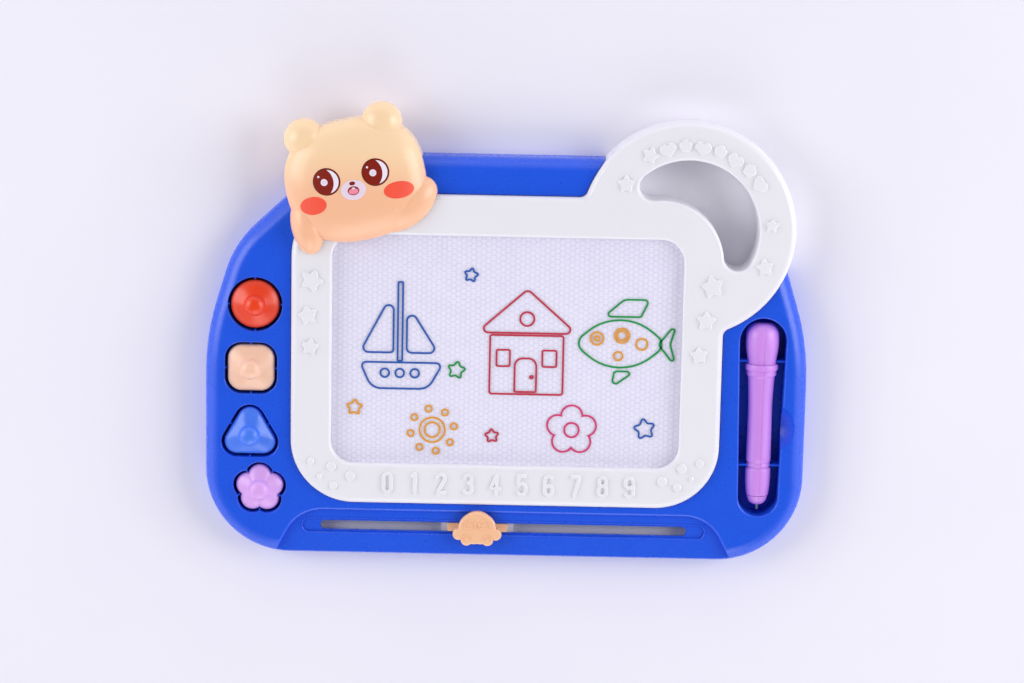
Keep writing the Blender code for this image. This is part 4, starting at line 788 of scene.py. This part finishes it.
def ball(spot, height, size, way=0.0):
    """A sphere with a radius for each axis, turned on the board."""
    work = bmesh.new()
    bmesh.ops.create_uvsphere(work, u_segments=48, v_segments=32, radius=1.0)
    return set_down(work, spot, height, math.radians(way), size)


work = bmesh.new()
bmesh.ops.create_uvsphere(work, u_segments=96, v_segments=96, radius=1.0)
bmesh.ops.bisect_plane(
    work, geom=work.verts[:] + work.edges[:] + work.faces[:], dist=1e-5, plane_co=(0, 0, 0),
    plane_no=(0, 0, 1), clear_inner=True)
for vert in work.verts:
    x, y, z = vert.co
    out = min(math.hypot(x, y), 1.0)
    if out > 1e-6:
        x, y = powered(x / out) * powered(out), powered(y / out) * powered(out)
    spot = BEAR_AT + Matrix.Rotation(BEAR_TILT, 2) @ Vector((x * BEAR_HALF.x, y * BEAR_HALF.y))
    vert.co = (spot.x, spot.y, BEAR_BASE + BEAR_DOME * powered(max(z, 0.0)))
rim = [edge for edge in work.edges if edge.is_boundary]
skirt = bmesh.ops.extrude_edge_only(work, edges=rim)["geom"]
for item in skirt:
    if isinstance(item, bmesh.types.BMVert):
        item.co.z = BEAR_SKIRT
bmesh.ops.edgeloop_fill(work, edges=[edge for edge in work.edges if edge.is_boundary])
bmesh.ops.recalc_face_normals(work, faces=work.faces)
added = [ball(BEAR_AT + BEAR_HALF.x * Vector(ear), BEAR_BASE, (12.0, 12.0, 9.5)) for ear in BEAR_EARS]
for x, y, half_length, half_width, way in BEAR_PAWS:
    spot = BEAR_AT + BEAR_HALF.x * Vector((x, y))
    added.append(ball(spot, TRAY_TOP + 2.0, (half_length, half_width, 10.0), way))
work = shaped_by(work, added, "UNION")
work = shaped_by(work, [
    drawn(body_arcs, [(FIT, -5.0), (FIT, TRAY_TOP + 0.3)]),
    drawn(frame_arcs, [(FIT, -5.0), (FIT, FRAME_TOP + 0.3)]),
])
# The top of the dome and the ears are painted paler: a painted sheen where light falls from above.
peach_with_painted_top_light = moulded_abs("peach gloss ABS with a painted lighter top", "#ffc49b", 0.24, 0.96, ("#ffddb0", 90.0, 128.0))
bear = new_piece("bear_shell", work, peach_with_painted_top_light, "board", 40)
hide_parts("bear_head")


# The bear's face is pad printed on the dome in five inks, one thin layer over the next.
# Each print is a flat shape laid on the dome, a few hundredths of a millimetre thick.
EYES = (Vector((-107.7, 102.5)), Vector((-79.1, 108.9)))
EYE_RADIUS = 8.15
MUZZLE = Vector((-91.8, 98.1))
GLINT = Vector((-1.45, -0.4))
INK_STEP = 0.05
INK_THICKNESS = 0.04


def pad_ink(name, colour, shade=1.0, dark=None):
    """Satin pad printing ink: full in the middle of its patches, with fine pinholes in its gloss."""
    # The ink's density drifts over 6 mm, and its grain is 0.4 mm.
    tints = (linear(colour), linear(dark or colour, shade), 6, 3.0)
    return surface(name, tints, (0.3, 0.44, 0.4, 2.0), (0.05, 0.02, 0.4, 2.0))


def spun(places, middle, axis, steps):
    """Spins a line of places once round an axis through a middle."""
    work = bmesh.new()
    line = [work.verts.new(spot) for spot in places]
    edges = [work.edges.new(pair) for pair in zip(line, line[1:])]
    bmesh.ops.spin(
        work, geom=line + edges, cent=middle, axis=axis, angle=2 * math.pi, steps=steps, use_merge=True)
    bmesh.ops.remove_doubles(work, verts=work.verts, dist=1e-3)
    return work


def dot(spot, half_width, half_height, way=0.0):
    """A flat oval of rings."""
    work = spun([(k / 8, 0.0, 0.0) for k in range(9)], (0, 0, 0), (0, 0, 1), 48)
    return set_down(work, spot, 0.0, math.radians(way), (half_width, half_height, 1.0))


def crescent(spot):
    """The light in an eye: the flat space between two arcs that meet at its ends."""
    work = bmesh.new()
    rings = []
    for middle, radius in ((Vector((0.0, 0.0)), 7.1), (Vector((-5.56, -1.03)), 9.75)):
        first, last = Vector((-0.2, 7.1)) - middle, Vector((2.2, -6.75)) - middle
        turn = math.atan2(first.cross(last), first.dot(last))
        start = middle + first.normalized() * radius
        vert = work.verts.new((*start, 0.0))
        bmesh.ops.spin(work, geom=[vert], cent=(*middle, 0.0), axis=(0, 0, 1), angle=turn, steps=24)
        rings.append([edge for edge in work.edges if not any(edge in arc for arc in rings)])
    bmesh.ops.bridge_loops(work, edges=rings[0] + rings[1])
    bmesh.ops.subdivide_edges(
        work, edges=[edge for edge in work.edges if not any(edge in arc for arc in rings)], cuts=3)
    return set_down(work, spot)


def dome_z(spot):
    """The height of the head's dome over a place on the board."""
    upright = Matrix.Rotation(-BEAR_TILT, 2) @ (Vector(spot[:2]) - BEAR_AT)
    out = sum(abs(upright[k] / BEAR_HALF[k]) ** BEAR_SQUARENESS for k in range(2))
    return BEAR_BASE + BEAR_DOME * powered(math.sqrt(max(1.0 - out, 0.0)))


def printed(name, material, layer, shapes):
    """Lays flat shapes on the dome as one print, and gives the ink its thickness."""
    work = joined(shapes)
    for vert in work.verts:
        vert.co.z = dome_z(vert.co) + INK_STEP * (layer + 2)
    bmesh.ops.recalc_face_normals(work, faces=work.faces)
    bmesh.ops.solidify(work, geom=work.faces[:], thickness=INK_THICKNESS)
    return new_piece(name, work, material, "board")


outline_ink = pad_ink("dark outline ink", "#571208", 0.8)
brown_ink = pad_ink("red brown ink", "#8c1d0b", 0.82)
white_ink = pad_ink("white ink", "#f6eef8", 0.95)
pearl_ink = pad_ink("pale muzzle ink", "#f0dcea", 0.96)
cheek_ink = pad_ink("coral ink", "#ff5532", dark="#f8604f")
pink_ink = pad_ink("pink ink", "#ff93ab", 0.93)
printed("eye_outlines", outline_ink, 0, [dot(eye, EYE_RADIUS, EYE_RADIUS) for eye in EYES])
printed("eye_discs", brown_ink, 1, [dot(eye, 7.75, 7.75) for eye in EYES])
lights = [crescent(eye) for eye in EYES]
lights += [dot(eye + GLINT, 2.05, 2.05) for eye in EYES]
lights += [dot(eye + Vector((-4.9, 2.75)), 0.66, 0.66) for eye in EYES]
printed("eye_lights", white_ink, 2, lights)
printed("eye_pupils", pearl_ink, 3, [dot(eye + GLINT, 1.35, 1.35) for eye in EYES])
printed("muzzle_patch", pearl_ink, 0, [dot(MUZZLE, 7.5, 5.95, 10)])
printed("nose_and_lips", brown_ink, 1, [
    dot(MUZZLE + Vector((-0.85, 3.9)), 1.75, 1.15, 10), dot(MUZZLE + Vector((0.0, -0.4)), 3.45, 2.6, 10)])
printed("mouth_inside", pink_ink, 2, [dot(MUZZLE + Vector((0.05, -0.75)), 2.9, 1.75, 10)])
printed("mouth_top", pearl_ink, 3, [dot(MUZZLE + Vector((-0.1, 1.0)), 1.0, 0.62, 10)])
printed("cheek_patches", cheek_ink, 0, [
    dot((-115.5, 87.8), 8.0, 5.4, 12), dot((-65.2, 98.5), 8.9, 5.1, 9)])


# Each stamp is a coloured ABS grip that rises from its shape to a round knob.
# The knob is domed, and a soft slope leads up to it from the rounded rim.
STAMP_FOOT = 11.6
STAMP_TOP = 30.0
KNOB, KNOB_SHARE = 6.2, 0.6
# Rings up the grip: shares of its height, of its outline, and of the way to the knob's circle
STAMP_RINGS = (
    (0.03, 0.98, 0.0), (0.10, 1.0, 0.0), (0.40, 1.0, 0.0), (0.46, 0.985, 0.02), (0.52, 0.93, 0.12),
    (0.58, 0.83, 0.32), (0.64, 0.71, 0.62), (0.69, 0.62, 0.92), (0.73, 0.60, 1.0), (0.82, 0.585, 1.0),
    (0.90, 0.51, 1.0), (0.955, 0.39, 1.0), (0.99, 0.22, 1.0), (1.0, 0.08, 1.0),
)
STAMP_FINISHES = (
    ("round_stamp", "red gloss ABS", "#f4441a", "red_stamp"),
    ("square_stamp", "cream gloss ABS", "#ffcfb0", "peach_shell"),
    ("triangle_stamp", "sky blue gloss ABS", "#4c82f6", "blue_housing"),
    ("flower_stamp", "orchid gloss ABS", "#e2adf2", "lilac_shell"),
)


def stamp_grip(name):
    """The top face of a thin plate is extruded ring by ring, from the stamp's outline to the knob."""
    middle = STAMPS_AT[name]
    work = drawn(lambda grow: stamp_arcs(name, grow), [(0.0, STAMP_FOOT), (0.0, STAMP_FOOT + 0.1)])
    straight = [edge for edge in work.edges if edge.calc_length() > 2.0]
    bmesh.ops.subdivide_edges(work, edges=straight, cuts=9)
    top = max(work.faces, key=lambda face: face.calc_center_median().z)
    shape = [vert.co.xy - middle for vert in top.verts]
    height = STAMP_TOP - STAMP_FOOT
    for up, size, toward in STAMP_RINGS:
        top = bmesh.ops.extrude_discrete_faces(work, faces=[top])["faces"][0]
        for vert, start in zip(top.verts, shape):
            knob = start.normalized() * (KNOB * size / KNOB_SHARE)
            spot = middle + start * size * (1 - toward) + knob * toward
            vert.co = (spot.x, spot.y, STAMP_FOOT + up * height)
    return work


for name, label, colour, slot_name in STAMP_FINISHES:
    grip = new_piece(f"{name}_grip", stamp_grip(name), moulded_abs(label, colour, 0.27), name)
    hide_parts(name)


# The slider's knob is a peach ABS car front on a shoe that fills the slot.
# The windows and wheel arches are raised outlines on its face.
SLIDER_AT = Vector((-15.75, SLOT_Y))
KNOB_HALF = 14.85
KNOB_FOOT, KNOB_TOP = 22.3, 26.2
ARCH_RADII = (2.4, 3.0)
KNOB_DISCS = (
    (0.0, 0.12, 0.668), (-0.13, 0.06, 0.64), (0.13, 0.06, 0.64), (-0.76, -0.175, 0.236),
    (0.76, -0.175, 0.236), (-0.424, -0.404, 0.242), (0.424, -0.404, 0.242),
)


def arch_arcs(middle, grow):
    """A wheel arch: a narrow bow over a middle."""
    inner, outer = ARCH_RADII
    return [(middle, outer + grow, 0.0, math.pi), (middle, inner - grow, math.pi, 0.0)]


peach_abs = moulded_abs("peach gloss ABS", "#fdc79c", 0.33, 0.95)
blanks = []
for x, y, share in KNOB_DISCS:
    spot, radius = SLIDER_AT + KNOB_HALF * Vector((x, y)), KNOB_HALF * share
    blanks.append(drawn(ring(*spot, radius), plate(KNOB_FOOT, KNOB_TOP, 1.4, 5)))
shoe = plate(15.1, 17.8, 0.3, 2)
blanks.append(drawn(box(18.25, 2.65, 0.5, SLIDER_AT), shoe))
blanks.append(drawn(box(9.0, 2.65, 0.5, SLIDER_AT), [(0.0, 15.2), (0.0, 22.0)]))
forms = [shaped_by(blanks[0], blanks[1:], "UNION")]
ridge = band_levels(0.42, KNOB_TOP - 0.2, KNOB_TOP + 0.5, 0.3)
low_mark = plate(KNOB_TOP - 0.2, KNOB_TOP + 0.4, 0.25, 2)
for side in (-1, 1):
    x, y = SLIDER_AT + Vector((side * 4.4, 3.75))
    low, high = y - 2.4, y + 2.5
    pane = loop((x - 3.4, low, 0.6), (x + 3.4, low, 0.6), (x + 3.3, high, 3.1), (x - 3.3, high, 3.1))
    forms.append(drawn(pane, ridge, COARSE, band=True))
    wheel = SLIDER_AT + Vector((side * 6.3, -5.4))
    forms.append(drawn(lambda grow: arch_arcs(wheel, grow), low_mark, COARSE))
    forms.append(drawn(ring(*wheel, 1.1), low_mark, COARSE))
knob = new_piece("slider_car", joined(forms), peach_abs, "eraser", 40)
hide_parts("slider_knob")


# The pen is moulded in lilac ABS: a bulb cap, a waisted barrel with a flange and clip rings, and a nose.
# It lies level in its trough, and a steel nib shows at the nose.
PEN_RADIUS = 10.1
# Parts of the profile longer than this are eased in so many steps.
LONG_PART, EASED_STEPS = 2.0, 4
PEN_CAP = (
    (0.0, 0.0), (0.002, 0.36), (0.008, 0.60), (0.022, 0.80), (0.038, 0.92), (0.056, 0.98), (0.078, 1.0),
    (0.115, 1.0), (0.15, 0.965), (0.18, 0.91), (0.205, 0.88), (0.221, 0.875),
)
PEN_BARREL = (
    (0.222, 0.97), (0.226, 0.99), (0.252, 0.99), (0.255, 0.905), (0.282, 0.905), (0.287, 0.825),
    (0.34, 0.775), (0.46, 0.724), (0.60, 0.725), (0.752, 0.75), (0.756, 0.70), (0.764, 0.70),
    (0.768, 0.745), (0.774, 0.745), (0.778, 0.70), (0.786, 0.70), (0.79, 0.76), (0.83, 0.765),
    (0.88, 0.74), (0.92, 0.695), (0.938, 0.655),
)
PEN_NOSE = (
    (0.941, 0.64), (0.952, 0.61), (0.963, 0.57), (0.974, 0.505), (0.983, 0.41), (0.990, 0.28),
    (0.993, 0.15),
)
# The two halves of the mould leave a fine line, a little to the right of the pen's top.
PARTING_X = 154.6
PARTING_HALF = 0.22
PARTING_DEPTH = 0.2


def eased(before, start, end, after, t):
    """A place on the smooth curve from start to end that runs on from before and toward after."""
    return 0.5 * (
        2 * start + (end - before) * t + (2 * before - 5 * start + 4 * end - after) * t**2
        + (3 * start - before - 3 * end + after) * t**3)


def turned(shares):
    """A profile of shares of the pen's length and radius, eased along its long stretches, then spun."""
    points = [Vector((radius * PEN_RADIUS, -along * PEN_LENGTH)) for along, radius in shares]
    ends = [points[0]] + points + [points[-1]]
    profile = []
    for k in range(1, len(ends) - 2):
        steps = EASED_STEPS if (ends[k + 1] - ends[k]).length > LONG_PART else 1
        profile += [eased(*ends[k - 1 : k + 3], n / steps) for n in range(steps)]
    profile.append(points[-1])
    if profile[0].x > 0.01:
        profile.insert(0, Vector((0.0, profile[0].y)))
    profile.append(Vector((0.0, profile[-1].y)))
    places = [(PEN_X + point.x, PEN_TOP_Y + point.y, PEN_Z) for point in profile]
    return spun(places, (PEN_X, 0.0, PEN_Z), (0, 1, 0), 72)


def parted(work):
    """Sinks a fine groove along the top of the pen where the mould parts."""
    for x in (PARTING_X - PARTING_HALF, PARTING_X, PARTING_X + PARTING_HALF):
        parts = work.verts[:] + work.edges[:] + work.faces[:]
        bmesh.ops.bisect_plane(work, geom=parts, plane_co=(x, 0.0, 0.0), plane_no=(1.0, 0.0, 0.0))
    for vert in work.verts:
        if abs(vert.co.x - PARTING_X) < 1e-4 and vert.co.z > PEN_Z + 2.0:
            vert.co.z -= PARTING_DEPTH
    return work


lilac_abs = moulded_abs("lilac gloss ABS", "#d794f0", 0.3)
for name, shares in (("pen_cap", PEN_CAP), ("pen_barrel", PEN_BARREL), ("pen_tip", PEN_NOSE)):
    piece = new_piece(f"{name}_turned", parted(turned(shares)), lilac_abs, "pen", 50)
    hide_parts(name)


# The screen is a sheet of white vinyl over a core of six-sided cells, whose walls show through it as a net.
# A clear film lies on it, with line drawings printed in five inks.
CELL_COLUMN, CELL_ROW = 2.94, 3.4
FILM_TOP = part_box("printed_film")[1].z / MM
INK_WIDTH = 1.15


def cell_walls(tree, where):
    """How near each place is to a wall of the cells: 1 on the wall and 0 in the middle."""
    half = (CELL_COLUMN * MM, CELL_ROW * MM / 2, 1.0)
    found = []
    for shift in ((0.0, 0.0, 0.0), half):
        moved = add(tree, "VectorMath", {0: where, 1: shift}, operation="SUBTRACT")
        wrapped = add(tree, "VectorMath", {0: moved, 1: half, 2: [-h for h in half]}, operation="WRAP")
        far = add(tree, "VectorMath", {0: wrapped}, operation="ABSOLUTE")
        lean = add(tree, "VectorMath", {0: far, 1: (0.866, 0.5, 0.0)}, operation="DOT_PRODUCT")
        up = add(tree, "SeparateXYZ", {0: far}).outputs["Y"]
        found.append(add(tree, "Math", {0: lean, 1: up}, operation="MAXIMUM"))
    near = add(tree, "Math", {0: found[0], 1: found[1]}, operation="MINIMUM")
    return add(tree, "MapRange", {
        "Value": near, "From Min": half[1] - 0.42 * MM, "From Max": half[1] - 0.08 * MM},
        interpolation_type="SMOOTHSTEP")


def screen_vinyl():
    """Smooth white vinyl with the cells' walls showing through, and grey clouds where old powder clings."""
    made, tree, where = new_material("screen vinyl")
    walls = cell_walls(tree, where)
    # Powder settles in clouds of 12 mm, and differs from cell to cell over 3 mm.
    cloud = add(tree, "TexNoise", {"Vector": where, "Scale": 1 / (12 * MM), "Detail": 3.0})
    speck = add(tree, "TexNoise", {"Vector": where, "Scale": 1 / (3 * MM), "Detail": 2.0})
    field = add(tree, "Mix", {
        "Factor": cloud, "A": linear("#f7f4ff"), "B": linear("#f0edfd")}, data_type="RGBA")
    strength = add(tree, "MapRange", {"Value": speck, "To Min": 0.25, "To Max": 0.85})
    factor = add(tree, "Math", {0: walls, 1: strength}, operation="MULTIPLY")
    tint = add(tree, "Mix", {"Factor": factor, "A": field, "B": linear("#cfcde6")}, data_type="RGBA")
    gloss = add(tree, "MapRange", {"Value": cloud, "To Min": 0.3, "To Max": 0.42})
    bump = add(tree, "Bump", {"Height": walls, "Strength": 0.12, "Distance": 0.05 * MM})
    shader = add(tree, "BsdfPrincipled", {"Base Color": tint, "Roughness": gloss, "Normal": bump})
    add(tree, "OutputMaterial", {"Surface": shader})
    return made


def finish_nodes(material, *names):
    """Gives CAD pieces that stay in sight their finish."""
    for name in names:
        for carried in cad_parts[name].material_slots:
            carried.material = material


finish_nodes(screen_vinyl(), "screen_face", "screen_back")
# Thin clear film is almost nothing of its own but a soft shine, a little hazy from handling.
# Its haze lies in patches of 15 mm, and it waves over 25 mm.
clear = linear("#f3f2ff")
clear_film = surface(
    "clear film", (clear, clear, 15, 4.0), (0.12, 0.26, 15, 4.0), (0.2, 0.3, 25, 1.0), cover=(0.05, 0.11))
finish_nodes(clear_film, "printed_film")


def small_star(x, y, radius, way):
    spot = Vector((x, y))
    return lambda grow: [(spot + middle, *rest) for middle, *rest in star_arcs(radius, way, grow)]


blue_lines = [
    loop((-88, -8, 2.5), (-81, -24, 9), (-47, -24, 9), (-38, -8, 2.5)),
    loop((-65.4, -7, 0.7), (-62.6, -7, 0.7), (-62.6, 41, 0.7), (-65.4, 41, 0.7)),
    loop((-68, -2, 2), (-68, 36, 3), (-88, -2, 3)),
    loop((-60, -2, 3), (-41, -2, 3), (-60, 28, 3)),
    *[ring(x, -14.5, 2.6) for x in (-73, -64, -55)],
    small_star(84, -46, 7.0, 100), small_star(-22, 46, 4.6, 80),
]
red_lines = [
    loop((-10, -26, 1.5), (34, -26, 1.5), (34, 10, 1.5), (-10, 10, 1.5)),
    loop((-18, 11.4, 2.5), (42, 11.4, 2.5), (12, 38, 3)),
    loop((5, -24.6, 1.0), (18, -24.6, 1.0), (18, -4, 5.0), (5, -4, 5.0)),
    loop((21.5, -9, 1), (30, -9, 1), (30, 1, 1), (21.5, 1, 1)),
    loop((-6, -9, 1), (2, -9, 1), (2, 1, 1), (-6, 1, 1)),
    ring(12, 20, 4.2), ring(15.2, -15.5, 0.8),
    small_star(-8, -52, 4.6, 95),
]
green_lines = [
    loop((40, 6, 6), (68, -18, 30), (96, 6, 6), (68, 30, 30)),
    loop((91, 6, 2), (102, -8, 1.2), (98, 6, -4), (102, 20, 1.2)),
    loop((58, 22.5, 1.5), (80, 22.5, 1.5), (85, 33, 2), (70, 33, 6)),
    loop((63, -21, 2), (77, -10.8, 1.5), (65, -10.8, 2)),
    small_star(-30, -12, 5.8, 80),
]
orange_lines = [
    ring(54, 9, 3.8), ring(54, 9, 1.5), ring(69, 11, 4.4), ring(69, 11, 2.8), ring(81, 6, 3.4),
    ring(67, -1.5, 2.6), ring(-44, -49, 7.6), ring(-44, -49, 4.6),
    small_star(-91, -36, 5.2, 88),
]
pink_lines = [
    lambda grow: flower_arcs(Vector((40.0, -47.5)), grow, 6.4, 8.8),
    ring(40, -47.5, 4.4),
]
for k in range(8):
    spot = Vector((-44, -49)) + 13.2 * pointing(math.radians(45 * k + 10))
    orange_lines.append(ring(*spot, 1.9))
DRAWINGS = (
    ("blue_drawing", "blue ink", "#2f62b8", blue_lines),
    ("red_drawing", "red ink", "#cc3a52", red_lines),
    ("green_drawing", "green ink", "#1fa050", green_lines),
    ("orange_drawing", "orange ink", "#f0a83a", orange_lines),
    ("pink_drawing", "rose ink", "#e0407a", pink_lines),
)
low, high, half = FILM_TOP - 0.01, FILM_TOP + 0.05, INK_WIDTH / 2
levels = [(-half, low), (-half, high), (half, high), (half, low)]
for name, label, colour, lines in DRAWINGS:
    bands = [drawn(line, levels, math.radians(9), band=True) for line in lines]
    new_piece(name, joined(bands), pad_ink(label, colour, 0.88), "board")


# Hidden work: the rear cover, the magnets, the eraser arm, the screws and the pen's nib.
# Each is the CAD piece itself with the finish of its own stuff.
finish_nodes(moulded_abs("white satin ABS", "#e9e8ef", 0.42, 0.97), "rear_cover", "eraser_arm")
finish_nodes(moulded_abs("cell core plastic", "#dedceb", 0.5), "honeycomb_core")
# Sintered ferrite is charcoal grey, with grain of 0.3 mm, and grinding leaves it dull with paler patches.
ferrite = surface(
    "ferrite magnet", (linear("#2b2b30"), linear("#45454c"), 3, 2.0), (0.45, 0.75, 0.3, 4.0),
    (0.3, 0.05, 0.3, 4.0), Metallic=0.25)
finish_nodes(ferrite, "eraser_magnet", *[f"{name}_magnet" for name in STAMPS_AT])
# Zinc plate on steel is bright, with turning marks of 0.15 mm and some duller spots of 0.8 mm.
zinc_plate = surface(
    "zinc plated steel", (linear("#d9dbe0"), linear("#b4b7bf"), 0.8, 3.0), (0.22, 0.45, 0.8, 3.0),
    (0.15, 0.02, 0.15, 1.0), Metallic=1.0)
screws = [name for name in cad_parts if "screw" in name]
finish_nodes(zinc_plate, "pen_nib", *screws)

size = {"cad": cad_box, "scene": [list(corner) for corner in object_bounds()]}
